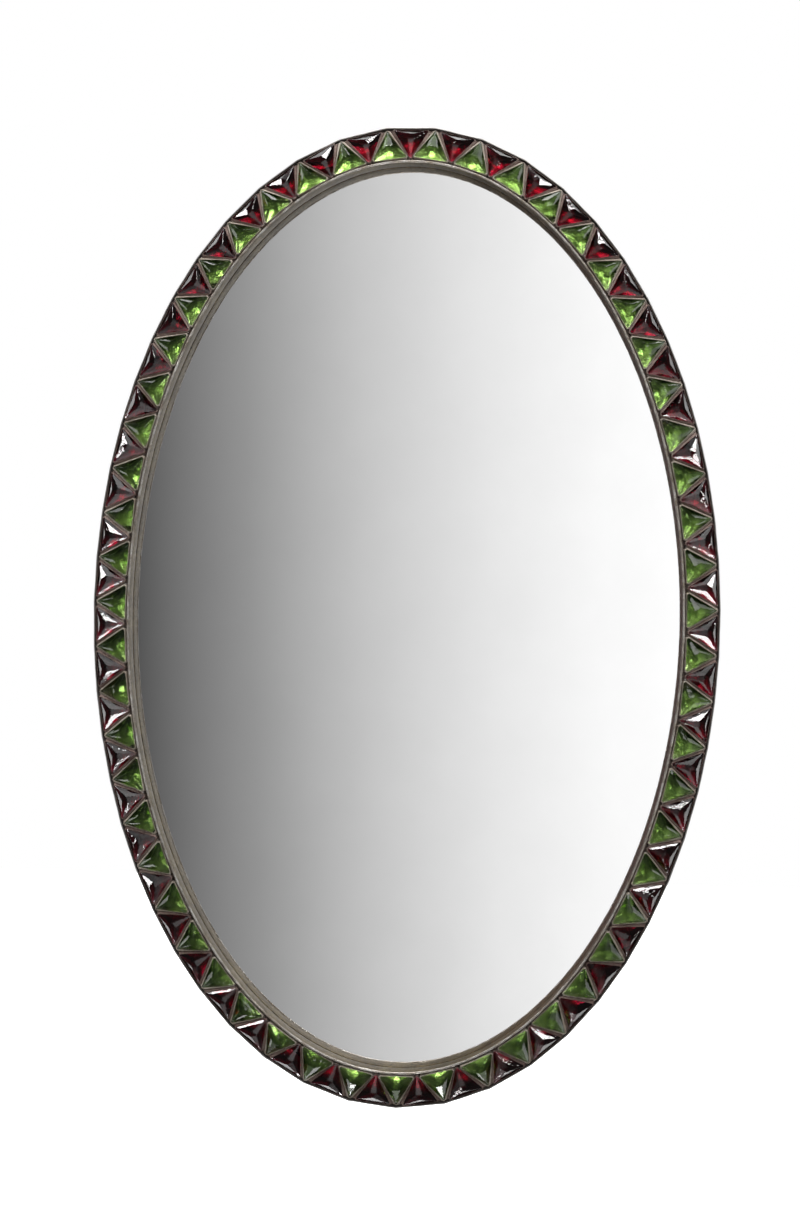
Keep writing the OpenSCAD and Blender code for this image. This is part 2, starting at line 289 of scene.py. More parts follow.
# %% Meshes from points
def new_object(name, mesh):
    thing = bpy.data.objects.new(name, mesh)
    bpy.context.scene.collection.objects.link(thing)
    return thing


def mesh_of(name, points, faces=(), edges=()):
    mesh = bpy.data.meshes.new(name)
    mesh.from_pydata([tuple(p) for p in points], edges, faces)
    mesh.update()
    return mesh


# %% [markdown]
# ## Running a tree
#
# A tree is a recipe with named inputs. It goes on a start mesh as a modifier, its inputs are
# set by their identifiers before anything is evaluated, and the result is kept as a plain mesh.
# A live tree could stay on the piece, but copies inside it would be lost as soon as the piece
# is handed on.


# %% Running a tree
def new_tree(name, **inputs):
    """A Geometry Nodes tree with a geometry in and out, and one named input for each size."""
    tree = bpy.data.node_groups.new(name, "GeometryNodeTree")
    tree.interface.new_socket("Geometry", in_out="INPUT", socket_type="NodeSocketGeometry")
    tree.interface.new_socket("Geometry", in_out="OUTPUT", socket_type="NodeSocketGeometry")
    for label, kind in inputs.items():
        tree.interface.new_socket(label.replace("_", " "), in_out="INPUT", socket_type="NodeSocket" + kind)
    return tree, tree.nodes.new("NodeGroupInput").outputs, tree.nodes.new("NodeGroupOutput").inputs


def run_tree(tree, name, start, **values):
    """Runs the tree on a start mesh, and returns the result as a plain object."""
    carrier = new_object(name + "_start", start)
    modifier = carrier.modifiers.new("shape", "NODES")
    modifier.node_group = tree
    for socket in tree.interface.items_tree:
        label = socket.name.replace(" ", "_")
        if socket.in_out == "INPUT" and label in values:
            modifier[socket.identifier] = values[label]
    view = bpy.context.evaluated_depsgraph_get()
    mesh = bpy.data.meshes.new_from_object(
        carrier.evaluated_get(view), preserve_all_data_layers=True, depsgraph=view
    )
    bpy.data.objects.remove(carrier)
    mesh.name = name
    made = new_object(name, mesh)
    print(name, "has", len(mesh.polygons), "faces")
    return made


# %% [markdown]
# ## Helpers for finishes
#
# Every finish here is made from the same few steps: a noise of a known size, a part of it
# stretched to the full range, two colours blended by it, and a bump from it. All patterns are
# laid out in the object's own space, in metres, so their sizes are real ones. Written once, the
# steps keep each finish to a few lines.


# %% Material helpers
def new_material(name):
    material = bpy.data.materials.new(name)
    material.use_nodes = True
    tree = material.node_tree
    return material, tree, tree.nodes["Principled BSDF"]


def own_space(tree, stretch=(1, 1, 1)):
    place_node = add(tree, "ShaderNodeTexCoord")
    return add(tree, "ShaderNodeMapping", Vector=place_node.outputs["Object"], Scale=stretch).outputs[0]


def noise(tree, where, size, detail=4.0, rough=0.55):
    """A noise whose blotches are about that size, in metres."""
    texture = add(tree, "ShaderNodeTexNoise", Vector=where, Scale=1 / size, Detail=detail, Roughness=rough)
    return texture.outputs[0]


def spread(tree, value, low, high, to_low=0.0, to_high=1.0):
    """Stretches the part of a value between low and high."""
    return add(tree, "ShaderNodeMapRange", Value=value, From_Min=low, From_Max=high,
               To_Min=to_low, To_Max=to_high).outputs[0]


def blend_colours(tree, share, first_colour, second_colour):
    node = add(tree, "ShaderNodeMix", {"data_type": "RGBA"}, in_0=share)
    for slot, colour in ((6, first_colour), (7, second_colour)):
        if isinstance(colour, bpy.types.NodeSocket):
            tree.links.new(colour, node.inputs[slot])
        else:
            node.inputs[slot].default_value = (*colour, 1)
    return node.outputs[2]


def bumped(tree, shader, height, depth):
    bump = add(tree, "ShaderNodeBump", Height=height, Distance=depth)
    tree.links.new(bump.outputs[0], shader.inputs["Normal"])


# %% [markdown]
# ## Aged metal
#
# Old soldered metal is never one colour. Its tone drifts over centimetres, its surface is
# pitted over tenths of a millimetre, and both change how it shines. One even grey would look
# like plastic. So each metal mixes two tones with a slow noise, darkens the pits that a fine
# noise makes, and uses the same noises for roughness and bump. The inner band also turns redder
# to the right, so a metal may have a third tone there.


# %% Aged metal
def aged_metal(name, tone, second_tone, pit_tone, shine=(0.28, 0.55), grain=0.35 * MM,
               drift=22 * MM, stretch=(1, 1, 1), pits=0.55, depth=0.2 * MM, metallic=0.9, right_tone=None):
    """Old metal: two tones that drift into each other, with darker, rougher pits."""
    material, tree, shader = new_material(name)
    where = own_space(tree, stretch)
    slow = noise(tree, own_space(tree), drift, 3)
    fine = noise(tree, where, grain, 6, 0.65)
    middle = noise(tree, where, grain * 7, 4)
    base = blend_colours(tree, spread(tree, slow, 0.35, 0.65), tone, second_tone)
    base = blend_colours(tree, spread(tree, middle, 0.3, 0.8, 0, 0.5), base, second_tone)
    if right_tone:
        across = add(tree, "ShaderNodeSeparateXYZ", in_0=own_space(tree)).outputs[0]
        base = blend_colours(tree, spread(tree, across, 0.04, 0.2, 0, 0.95), base, right_tone)
    pitted = spread(tree, fine, pits, pits - 0.14)
    base = blend_colours(tree, pitted, base, pit_tone)
    tree.links.new(base, shader.inputs["Base Color"])
    tree.links.new(spread(tree, fine, 0.3, 0.7, shine[1], shine[0]), shader.inputs["Roughness"])
    shader.inputs["Metallic"].default_value = metallic
    bumped(tree, shader, fine, depth)
    return material


# %% [markdown]
# ## The metals of this mirror
#
# The bezels, the bands and the fittings are different metals. Solder is dull and brown in the
# grooves, and bright where it was run last. The rim of a green stone is painted lit, light and
# beige, and the rim of a red one is painted shade with a pinkish painted reflection of the red
# glass: two copies of one metal. The outer band is a smooth strip, and brass and steel are left for
# the fittings on the back. One line for each metal shows at a glance how they differ.

# %% Metals
# The green rim is a painted lit copy of the bezel metal, and the red rim a painted shaded copy with a painted
# reflection of red glass.
green_bezel_metal = aged_metal("green_bezel_metal", (0.95, 0.88, 0.76), (0.62, 0.54, 0.44),
                               (0.16, 0.11, 0.08), shine=(0.3, 0.6), metallic=0.25)
red_bezel_metal = aged_metal("red_bezel_metal", (0.55, 0.42, 0.37), (0.34, 0.23, 0.20), (0.06, 0.035, 0.03),
                             shine=(0.38, 0.65), metallic=0.35)
solder_metal = aged_metal("solder_metal", (0.38, 0.31, 0.27), (0.22, 0.165, 0.14), (0.04, 0.03, 0.025),
                          shine=(0.35, 0.7), grain=0.5 * MM, metallic=0.6)
bead_metal = aged_metal("bead_metal", (0.86, 0.83, 0.78), (0.36, 0.30, 0.24), (0.06, 0.045, 0.035),
                        shine=(0.12, 0.45), grain=1.0 * MM, drift=9 * MM, pits=0.5, metallic=0.6)
bright_solder = aged_metal("bright_solder", (0.88, 0.86, 0.82), (0.50, 0.45, 0.40), (0.15, 0.11, 0.09),
                           shine=(0.1, 0.4), grain=0.7 * MM, drift=6 * MM, metallic=0.7)
inner_metal = aged_metal("inner_metal", (0.35, 0.275, 0.14), (0.15, 0.105, 0.045), (0.04, 0.03, 0.02),
                         shine=(0.22, 0.55), grain=0.5 * MM, drift=24 * MM, stretch=(0.2, 1, 0.2),
                         metallic=0.45, right_tone=(0.17, 0.055, 0.035))
outer_metal = aged_metal("outer_metal", (0.44, 0.425, 0.41), (0.29, 0.275, 0.26), (0.15, 0.13, 0.12),
                         shine=(0.3, 0.5), grain=1.2 * MM, drift=60 * MM, stretch=(0.5, 1, 0.5), pits=0.4,
                         depth=0.05 * MM, metallic=0.8)
brass = aged_metal("brass", (0.36, 0.24, 0.085), (0.24, 0.15, 0.055), (0.10, 0.06, 0.03),
                   shine=(0.2, 0.42), grain=0.4 * MM, drift=8 * MM, pits=0.42, depth=0.03 * MM, metallic=1.0)
zinc_steel = aged_metal("zinc_steel", (0.30, 0.30, 0.29), (0.21, 0.205, 0.19), (0.12, 0.10, 0.08),
                        shine=(0.22, 0.45), grain=0.3 * MM, drift=7 * MM, pits=0.42, depth=0.02 * MM,
                        metallic=1.0)
metals = (green_bezel_metal, red_bezel_metal, solder_metal, bead_metal, bright_solder, inner_metal,
          outer_metal, brass, zinc_steel)
print("metals:", ", ".join(metal.name for metal in metals))

# %% [markdown]
# ## Glass
#
# The stones are clear coloured glass, and what makes them glow is behind them: light goes in
# through one facet, is thrown back by a foil under the stone, and comes out through another.
# Painting all of that glow on would never change as the mirror turns, so the stones are real glass
# over a real foil here, and the foil adds a painted glow on one side and painted shade on the other.
# The colour comes from absorption, which is deep where the glass is thick and bright at the thin edges.


# %% Glass
def stone_glass(name, tint, absorbed, density):
    material, tree, shader = new_material(name)
    shader.inputs["Base Color"].default_value = (*tint, 1)
    shader.inputs["Transmission Weight"].default_value = 1.0
    shader.inputs["IOR"].default_value = 1.58
    shader.inputs["Coat Weight"].default_value = 0.3
    where = own_space(tree)
    worn = noise(tree, where, 3 * MM, 5, 0.6)
    tree.links.new(spread(tree, worn, 0.4, 0.8, 0.0, 0.06), shader.inputs["Roughness"])
    bumped(tree, shader, noise(tree, where, 6 * MM, 2), 0.12 * MM)
    volume = add(tree, "ShaderNodeVolumeAbsorption", Color=(*absorbed, 1), Density=density)
    tree.links.new(volume.outputs[0], tree.nodes["Material Output"].inputs["Volume"])
    return material


green_glass = stone_glass("green_glass", (0.90, 0.96, 0.84), (0.67, 0.81, 0.42), 200.0)
red_glass = stone_glass("red_glass", (0.96, 0.46, 0.62), (0.67, 0.04, 0.25), 400.0)
print("glass:", green_glass.name, "and", red_glass.name)

# %% [markdown]
# ## The foil under the glass
#
# Under each stone lies a dish of thin metal that throws the light back. Its colour is painted
# bright on one side, a painted glow, and dark on the other, painted shade, so each stone glows
# along one edge. An image of that would have to be laid out stone by stone. A number stored on
# each point of the foil, which says how far it lies towards the painted glow, does it without one.


# %% The finish of the foils
def foil_finish(name, tone, second_tone, painted_shade_tone, painted_glow):
    """Crinkled foil with a painted glow where the attribute named inward is high, and painted shade where it
    is low.
    """
    material, tree, shader = new_material(name)
    where = own_space(tree)
    crinkle = noise(tree, where, 5 * MM, 3, 0.5)
    inward = add(tree, "ShaderNodeAttribute", {"attribute_name": "inward"}).outputs["Fac"]
    bright = blend_colours(tree, spread(tree, crinkle, 0.35, 0.65), tone, second_tone)
    # Painted glow and painted shade: the foil is painted bright towards its glowing side and dark away from
    # it.
    bright = blend_colours(tree, spread(tree, inward, *painted_glow), painted_shade_tone, bright)
    tree.links.new(bright, shader.inputs["Base Color"])
    shader.inputs["Metallic"].default_value = 1.0
    tree.links.new(spread(tree, crinkle, 0.3, 0.7, 0.28, 0.5), shader.inputs["Roughness"])
    bumped(tree, shader, crinkle, 0.3 * MM)
    return material


# The third colour of a foil is its painted shade, and the last pair is where its painted glow begins and is
# full.
green_foil = foil_finish("green_foil", (1.0, 0.99, 0.84), (0.90, 0.90, 0.66), (0.13, 0.15, 0.11),
                         (-0.5, 0.45))
red_foil = foil_finish("red_foil", (0.98, 0.90, 0.90), (0.80, 0.66, 0.68), (0.05, 0.03, 0.035), (-0.3, 0.6))
print("foils:", green_foil.name, "and", red_foil.name)

# %% [markdown]
# ## Blunt triangles
#
# The glass, its foil, its bezel and the solder beside it follow one outline, a triangle with
# its corners cut off. It could be a cylinder with three sides and bevelled corners, but then
# the cuts couldn't differ. So one function draws it at any size, and what nests inside it is
# drawn by the same function.


# %% Blunt triangles
def triangle_loop(inradius, cuts, parts=1):
    """A blunt triangle that points to +y, anticlockwise, with each side in that many parts."""
    corners = []
    for index, angle in enumerate((90, 210, 330)):
        cut = cuts[0] if index == 0 else cuts[1]
        way = np.array((math.cos(math.radians(angle)), math.sin(math.radians(angle))))
        square = np.array((-way[1], way[0]))
        corners += [(2 * inradius - cut) * way - square * cut / math.sqrt(3),
                    (2 * inradius - cut) * way + square * cut / math.sqrt(3)]
    loop = []
    for index in range(6):
        start, end = corners[index], corners[(index + 1) % 6]
        steps = 1 if index % 2 == 0 else parts
        loop += [start + (end - start) * step / steps for step in range(steps)]
    return np.array(loop)


def raised(loop, height):
    return np.column_stack((loop, np.full(len(loop), height)))


def ring_faces(low_start, high_start, count):
    return [(low_start + i, low_start + (i + 1) % count, high_start + (i + 1) % count, high_start + i)
            for i in range(count)]


print("a blunt triangle has", len(triangle_loop(STONE, SHARP_GREEN)), "corners")

# %% [markdown]
# ## Cutting a stone
#
# A stone is a triangle with blunted corners: a straight edge, a bevel, three long facets that
# rise from its sides, three narrow ones that rise from its corners, and a small table on top.
# It is built point by point, because a cut stone is nothing but its facets. Four stones that
# differ a little are cut of each colour, and every edge is broken by a hair, so that it
# catches the light.

# %% Cut the stones
FOOT_Z, GIRDLE_Z, CROWN_Z, TABLE_Z = 0.4 * MM, 3.2 * MM, 4.9 * MM, 8.1 * MM
BEVEL_W = 1.9 * MM
TABLE_REACH = 3.1 * MM
BROKEN_EDGE = 0.09 * MM


def cut_stone(name, cuts, cutter):
    girdle, crown = triangle_loop(STONE, cuts), triangle_loop(STONE - BEVEL_W, cuts)
    table = np.array([(math.cos(math.radians(a)), math.sin(math.radians(a))) for a in (150, 270, 30)])
    table = table * (TABLE_REACH + cutter.normal(0, 0.12 * MM, (3, 1))) + cutter.normal(0, 0.22 * MM, 2)
    points = np.vstack((raised(girdle, FOOT_Z), raised(girdle, GIRDLE_Z), raised(crown, CROWN_Z),
                        raised(table, TABLE_Z - abs(cutter.normal(0, 0.12 * MM)))))
    faces = [(5, 4, 3, 2, 1, 0)] + ring_faces(0, 6, 6) + ring_faces(6, 12, 6) + [(18, 19, 20)]
    for c in range(3):
        faces.append((12 + 2 * c, 13 + 2 * c, 18 + c, 18 + (c + 2) % 3))
        faces.append((13 + 2 * c, 12 + (2 * c + 2) % 6, 18 + c))
    shape = bmesh.new()
    corners = [shape.verts.new(p) for p in points]
    for face in faces:
        shape.faces.new([corners[i] for i in face])
    bmesh.ops.recalc_face_normals(shape, faces=shape.faces)
    bmesh.ops.bevel(shape, geom=list(shape.edges), offset=BROKEN_EDGE, segments=1, affect="EDGES",
                    clamp_overlap=True)
    mesh = bpy.data.meshes.new(name)
    shape.to_mesh(mesh)
    shape.free()
    return mesh


CUTS_MADE = 4
cutter = np.random.default_rng(5)
green_cut = [cut_stone(f"green_cut_{i}", SHARP_GREEN, cutter) for i in range(CUTS_MADE)]
red_cut = [cut_stone(f"red_cut_{i}", SHARP_RED, cutter) for i in range(CUTS_MADE)]
print("a cut stone has", len(green_cut[0].polygons), "facets and edges")

# %% [markdown]
# ## Setting them
#
# On the bench each stone is set by hand into its own box of metal. Here the seats become loose
# points that carry the two directions, because that is what a tree can read: one point for a
# seat, with the way the stone faces and the way its point goes stored on it.


# %% Seats as points
def seat_points(name, seats):
    mesh = mesh_of(name, [middle for middle, _, _ in seats])
    for label, column in (("faces", 1), ("point", 2)):
        values = np.array([one[column] for one in seats], np.float32)
        mesh.attributes.new(label, "FLOAT_VECTOR", "POINT").data.foreach_set("vector", values.ravel())
    return mesh


def read_attribute(tree, label, kind="FLOAT_VECTOR"):
    return add(tree, "GeometryNodeInputNamedAttribute", {"data_type": kind}, Name=label).outputs[0]


# %% [markdown]
# ## The setting tree
#
# One tree puts a part on every seat: the glass, the foils, the bezels, the lumps of solder and
# the screws. A loop could copy them too, but a tree keeps in one place how a part is turned,
# picked and varied. It turns the part with Axes to Rotation, picks one of several at random and
# varies its size by a hair. Then a noise pushes the points that are free to give way, so no two
# bezels are alike.


# %% The setting tree
def setting_tree():
    tree, given, out = new_tree("set in the seats", Parts="Collection", Size_Change="Float", Waver="Float",
                                Waver_Size="Float", Seed="Int", Finish="Material")
    turn = add(tree, "FunctionNodeAxesToRotation", {"primary_axis": "Z", "secondary_axis": "Y"},
               in_0=read_attribute(tree, "faces"), in_1=read_attribute(tree, "point"))
    parts = add(tree, "GeometryNodeCollectionInfo", Collection=given["Parts"])
    parts.inputs["Separate Children"].default_value = True
    parts.inputs["Reset Children"].default_value = True
    chosen = add(tree, "FunctionNodeRandomValue", {"data_type": "INT"}, Seed=given["Seed"])
    chosen.inputs[4].default_value, chosen.inputs[5].default_value = 0, 99
    least = calc(tree, "SUBTRACT", 1.0, given["Size Change"])
    most = calc(tree, "ADD", 1.0, given["Size Change"])
    size = add(tree, "FunctionNodeRandomValue", {"data_type": "FLOAT"}, Seed=given["Seed"])
    tree.links.new(least, size.inputs[2])
    tree.links.new(most, size.inputs[3])
    copies = add(tree, "GeometryNodeInstanceOnPoints", Points=given["Geometry"],
                 Instance=parts.outputs[0], Rotation=turn.outputs[0], Scale=size.outputs[1])
    copies.inputs["Pick Instance"].default_value = True
    tree.links.new(chosen.outputs[2], copies.inputs["Instance Index"])
    real = add(tree, "GeometryNodeRealizeInstances", Geometry=copies.outputs[0])
    here = add(tree, "GeometryNodeInputPosition").outputs[0]
    wave = add(tree, "ShaderNodeTexNoise", Vector=here, Scale=calc(tree, "DIVIDE", 1.0, given["Waver Size"]),
               Detail=2.0)
    push = vector_calc(tree, "SUBTRACT", wave.outputs[1], (0.5, 0.5, 0.5))
    free = calc(tree, "MULTIPLY", read_attribute(tree, "free", "FLOAT"), given["Waver"])
    waved = add(tree, "GeometryNodeSetPosition", Geometry=real.outputs[0], Offset=scaled(tree, push, free))
    done = add(tree, "GeometryNodeSetMaterial", Geometry=waved.outputs[0], Material=given["Finish"])
    tree.links.new(done.outputs[0], out[0])
    return tree


set_in_seats = setting_tree()
print("the setting tree has", len(set_in_seats.nodes), "nodes")


# %% [markdown]
# ## Setting a row of parts
#
# The parts to pick from go into a collection that isn't shown. The tree reads it, and a whole
# row is set in one run, as one piece.


# %% Setting a row of parts
def parts_box(name, meshes):
    box = bpy.data.collections.new(name)
    for index, mesh in enumerate(meshes):
        box.objects.link(bpy.data.objects.new(f"{name}_{index}", mesh))
    return box


def set_parts(name, seats, meshes, finish, seed, size_change=0.0, waver=0.0, waver_size=1.5 * MM):
    return run_tree(set_in_seats, name, seat_points(name + "_seats", seats), Parts=parts_box(name, meshes),
                    Size_Change=size_change, Waver=waver, Waver_Size=waver_size, Seed=seed, Finish=finish)


# %% [markdown]
# ## The glass in its seats
#
# All stones of one colour become one piece, which stands in for the plain solids of that
# colour. Each stone could be an object of its own, but 55 objects with the same glass on the
# same body behave as one, and one is easier to keep.


# %% Glass in its seats
def nodes_named(start):
    return [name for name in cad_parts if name.startswith(start)]


green_stones = set_parts("green_stones", green_seats, green_cut, green_glass, seed=3, size_change=0.004)
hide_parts(*nodes_named("green_stones_"))
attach(green_stones, "frame")

red_stones = set_parts("red_stones", red_seats, red_cut, red_glass, seed=4, size_change=0.004)
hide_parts(*nodes_named("red_stones_"))
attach(red_stones, "frame")
print("set", len(green_seats), "green and", len(red_seats), "red stones")


# %% [markdown]
# ## Lofts around a stone
#
# A bezel is a strip bent around the stone, with its edge rubbed over the bevel of the glass.
# It is lofted from one section, a tall wall with a rounded lip, around the blunt triangle. The
# lip and the outer wall may waver, and the inside, which touches the glass, stays true: an
# attribute named free says how much each point gives way.


# %% Lofts around a stone
def tidy_normals(mesh):
    shape = bmesh.new()
    shape.from_mesh(mesh)
    bmesh.ops.recalc_face_normals(shape, faces=shape.faces)
    shape.to_mesh(mesh)
    shape.free()


def loft(name, cuts, section, parts, free):
    """Runs a closed section of (distance from the middle, height) pairs around a blunt triangle."""
    loops = [raised(triangle_loop(inradius, cuts, parts), height) for inradius, height in section]
    count = len(loops[0])
    faces = []
    for row in range(len(loops)):
        faces += ring_faces(row * count, (row + 1) % len(loops) * count, count)
    mesh = mesh_of(name, np.vstack(loops), faces)
    values = np.repeat(np.array(free, np.float32), count)
    mesh.attributes.new("free", "FLOAT", "POINT").data.foreach_set("value", values)
    tidy_normals(mesh)
    return mesh


# %% [markdown]
# ## Bezels
#
# The section starts at the foot of the outer wall, goes up and over the lip, and comes down
# beside the glass. Each line gives how far a point lies inside the outer wall, how high it is,
# and how much it may waver.

# %% Bezels
BEZEL_LINES = ((0, 0.10, 0.2), (0, 2.4, 1), (0.03, 3.1, 1), (0.15, 3.6, 1), (0.35, 3.75, 0.8),
               (0.53, 3.65, 0.7), (0.53, 3.45, 0.1), (0.37, 3.25, 0), (0.35, 0.10, 0))
SIDE_PARTS = 7
bezel_section = [(BEZEL - inwards * MM, height * MM) for inwards, height, _ in BEZEL_LINES]
bezel_free = [free for _, _, free in BEZEL_LINES]
green_collar = loft("green_collar", SHARP_GREEN, bezel_section, SIDE_PARTS, bezel_free)
red_collar = loft("red_collar", SHARP_RED, bezel_section, SIDE_PARTS, bezel_free)
print("a bezel has", len(green_collar.polygons), "faces")

# Green rims take the painted lit metal, and red rims the painted shade.
green_bezels = set_parts("green_bezels", green_seats, [green_collar], green_bezel_metal, 7, waver=0.42 * MM)
red_bezels = set_parts("red_bezels", red_seats, [red_collar], red_bezel_metal, 8, waver=0.5 * MM)
for bezels in (green_bezels, red_bezels):
    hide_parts(*nodes_named("bezels_"))
    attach(bezels, "frame")


# %% [markdown]
# ## Foil dishes
#
# A foil is a shallow dish of thin metal that is pressed into the setting before the stone. A
# flat plate would throw the light back evenly. The floor of the dish is pressed up and down by
# a hair instead, so the stone sparkles, and its rim turns over to close it underneath.


# %% Foil dishes
FOIL_SECTION = ((8.52, 0.12), (8.52, 0.34), (8.46, 0.34), (8.46, 0.3), (5.6, 0.3), (3.0, 0.3), (1.0, 0.3))


def foil_dish(name, cuts, presser):
    """A dish of foil: rings that run from under its floor over its rim to the middle of its floor."""
    loops = [raised(triangle_loop(r * MM, tuple(min(c, r * MM * 0.6) for c in cuts), 4), h * MM)
             for r, h in FOIL_SECTION]
    for loop in loops[4:]:
        loop[:, 2] += presser.uniform(-0.08, 0.04, len(loop)) * MM
    count = len(loops[0])
    faces = [tuple(reversed(range(count)))]
    for row in range(len(loops) - 1):
        faces += ring_faces(row * count, (row + 1) * count, count)
    faces.append(tuple(range((len(loops) - 1) * count, len(loops) * count)))
    mesh = mesh_of(name, np.vstack(loops), faces)
    tidy_normals(mesh)
    return mesh


# %% [markdown]
# ## The painted glow of the foils
#
# The glow of the foils is painted on: each foil is painted bright on the side where light falling
# in from above and from the outside of the frame would land, and painted dark on the other. At the
# top and the bottom the glowing side points towards the mirror, and at the sides it points mostly
# down. The distance towards it is stored on each point, measured from the middle of its own stone,
# and the finish of the foil reads it.


# %% The bright side of the foils
# How far the painted glow leans down, towards where light from above would fall.
DOWNWARD = 0.45
SIDEWAYS_SHARE = 0.3
FOIL_REACH = 9 * MM


def mark_painted_glow(mesh, seats, inward):
    """Stores on each point how far it lies towards the painted glow of its own foil."""
    spots = np.empty(len(mesh.vertices) * 3)
    mesh.vertices.foreach_get("co", spots)
    spots = spots.reshape(-1, 3)
    middles = np.array([middle for middle, _, _ in seats])
    nearest = np.argmin(np.linalg.norm(spots[:, None] - middles[None], axis=2), axis=1)
    down = np.array((0.0, 0.0, -DOWNWARD))
    painted_glow = np.array([point * inward * (SIDEWAYS_SHARE + (1 - SIDEWAYS_SHARE) * abs(point[2])) + down
                      for _, _, point in seats])
    painted_glow /= np.linalg.norm(painted_glow, axis=1)[:, None]
    reach = np.einsum("ij,ij->i", spots - middles[nearest], painted_glow[nearest]) / FOIL_REACH
    mesh.attributes.new("inward", "FLOAT", "POINT").data.foreach_set("value", reach.astype(np.float32))


presser = np.random.default_rng(21)
for colour, seats, cuts, finish, inward in (("green", green_seats, SHARP_GREEN, green_foil, -1),
                                            ("red", red_seats, SHARP_RED, red_foil, 1)):
    dishes = [foil_dish(f"{colour}_dish_{i}", cuts, presser) for i in range(3)]
    foils = set_parts(f"{colour}_foil_dishes", seats, dishes, finish, 12)
    mark_painted_glow(foils.data, seats, inward)
    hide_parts(f"{colour}_foils")
    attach(foils, "frame")


# %% [markdown]
# ## Solder
#
# Solder was run into the grooves between the bezels and built up in lumps where their corners
# meet. A groove is filled from the side of one bezel to the side of the next. A row of plain
# wedges would leave gaps, because no two stones sit alike, so each strip is made between the
# two sides that it really joins. First those sides have to be found.


# %% The sides of a bezel
def world_point(one_seat, x, y, height):
    middle, faces, point = one_seat
    return middle + np.cross(point, faces) * x + point * y + faces * height


def side_ends(one_seat, cuts, other):
    """The two ends of the side of a bezel that faces another stone, the inner one first."""
    best = None
    for angle, end_cuts in ((30, (cuts[1], cuts[0])), (150, (cuts[0], cuts[1])), (270, (cuts[1], cuts[1]))):
        way = np.array((math.cos(math.radians(angle)), math.sin(math.radians(angle))))
        along = np.array((-way[1], way[0]))
        facing = (world_point(one_seat, *way, 0) - one_seat[0]) @ (other[0] - one_seat[0])
        reach = [math.sqrt(3) * BEZEL - cut * 2 / math.sqrt(3) for cut in end_cuts]
        ends = [(BEZEL * way - along * reach[0]), (BEZEL * way + along * reach[1])]
        if best is None or facing > best[0]:
            best = (facing, ends, way)
    ends = sorted(best[1], key=lambda p: math.hypot(*world_point(one_seat, *p, 0)[[0, 2]] / (HALF_W, HALF_H)))
    return ends, best[2]


# %% [markdown]
# ## A strip of solder
#
# The strip is hollow along its middle and pitted. Its two slopes carry the same painted light as
# the rims beside them, so the slope beside a green stone takes the painted lit metal of that bezel,
# and the slope beside a red one takes the painted shade of the other. What is below them is plain solder.

# %% A strip of solder
GROOVE_STEPS = 14
GROOVE_TOP, GROOVE_FLOOR = 3.0 * MM, 1.5 * MM
TUCKED = 0.2 * MM
smith = np.random.default_rng(31)


def groove_rows(one, one_cuts, two, two_cuts):
    """Five points across a groove for each step along it, and the heights of its ends."""
    one_ends, one_way = side_ends(one, one_cuts, two)
    two_ends, two_way = side_ends(two, two_cuts, one)
    rows = []
    for step in range(GROOVE_STEPS + 1):
        share = step / GROOVE_STEPS
        left = one_ends[0] + (one_ends[1] - one_ends[0]) * share - one_way * TUCKED
        right = two_ends[0] + (two_ends[1] - two_ends[0]) * share - two_way * TUCKED
        top_left = world_point(one, *left, GROOVE_TOP + smith.normal(0, 0.12) * MM)
        top_right = world_point(two, *right, GROOVE_TOP + smith.normal(0, 0.12) * MM)
        sunk = (one[1] + two[1]) / 2 * (GROOVE_TOP - GROOVE_FLOOR)
        row = [top_left + (top_right - top_left) * s - sunk * dip + one[1] * smith.normal(0, 0.08) * MM
               for s, dip in ((0, 0), (0.38, 0.3), (0.5, 1.0), (0.62, 0.3), (1, 0))]
        rows.append(row)
    return rows


def groove_solid(rows, base, points, faces, finishes, sides):
    """Adds a closed strip: the rows on top, and the same outline pressed down to the base."""
    start, across = len(points), len(rows[0])
    for row in rows:
        points += row
        points += [row[0] - base, row[-1] - base]
    width = across + 2
    for i in range(len(rows) - 1):
        a, b = start + i * width, start + (i + 1) * width
        for j in range(across - 1):
            faces.append((a + j, a + j + 1, b + j + 1, b + j))
            finishes.append(sides[0] if j < across // 2 else sides[1])
        faces += [(a + across - 1, a + across + 1, b + across + 1, b + across - 1),
                  (a + across + 1, a + across, b + across, b + across + 1), (a + across, a, b, b + across)]
        finishes += [sides[1], 2, sides[0]]
    for row_start in (start, start + (len(rows) - 1) * width):
        faces.append(tuple(row_start + j for j in (*range(across), across + 1, across)))
        finishes.append(2)


# %% [markdown]
# ## Solder in the grooves
#
# Two strips belong to each pair of stones, one on each side of the green one. All of them are
# gathered in one mesh, and both ends of each are kept as seats for the lumps.

# %% Solder in the grooves
GROOVE_H = 2.2 * MM
points, faces, finishes, lump_seats = [], [], [], []
for k in range(PAIRS):
    for one, one_cuts, two, two_cuts, sides in (
        (red_seats[k], RED_CUTS, green_seats[k], GREEN_CUTS, (1, 0)),
        (green_seats[k], GREEN_CUTS, red_seats[(k + 1) % PAIRS], RED_CUTS, (0, 1)),
    ):
        rows = groove_rows(one, one_cuts, two, two_cuts)
        groove_solid(rows, one[1] * GROOVE_H, points, faces, finishes, sides)
        for row in (rows[0], rows[-1]):
            lump_seats.append((row[2], one[1], one[2]))
grooves_mesh = mesh_of("solder_grooves", points, faces)
# The first two finishes are the painted lit and the painted shade copies of the bezel metal.
for metal in (green_bezel_metal, red_bezel_metal, solder_metal):
    grooves_mesh.materials.append(metal)
grooves_mesh.polygons.foreach_set("material_index", finishes)
tidy_normals(grooves_mesh)
solder_grooves = new_object("solder_grooves", grooves_mesh)
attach(solder_grooves, "frame")
print("solder runs in", 2 * PAIRS, "grooves")


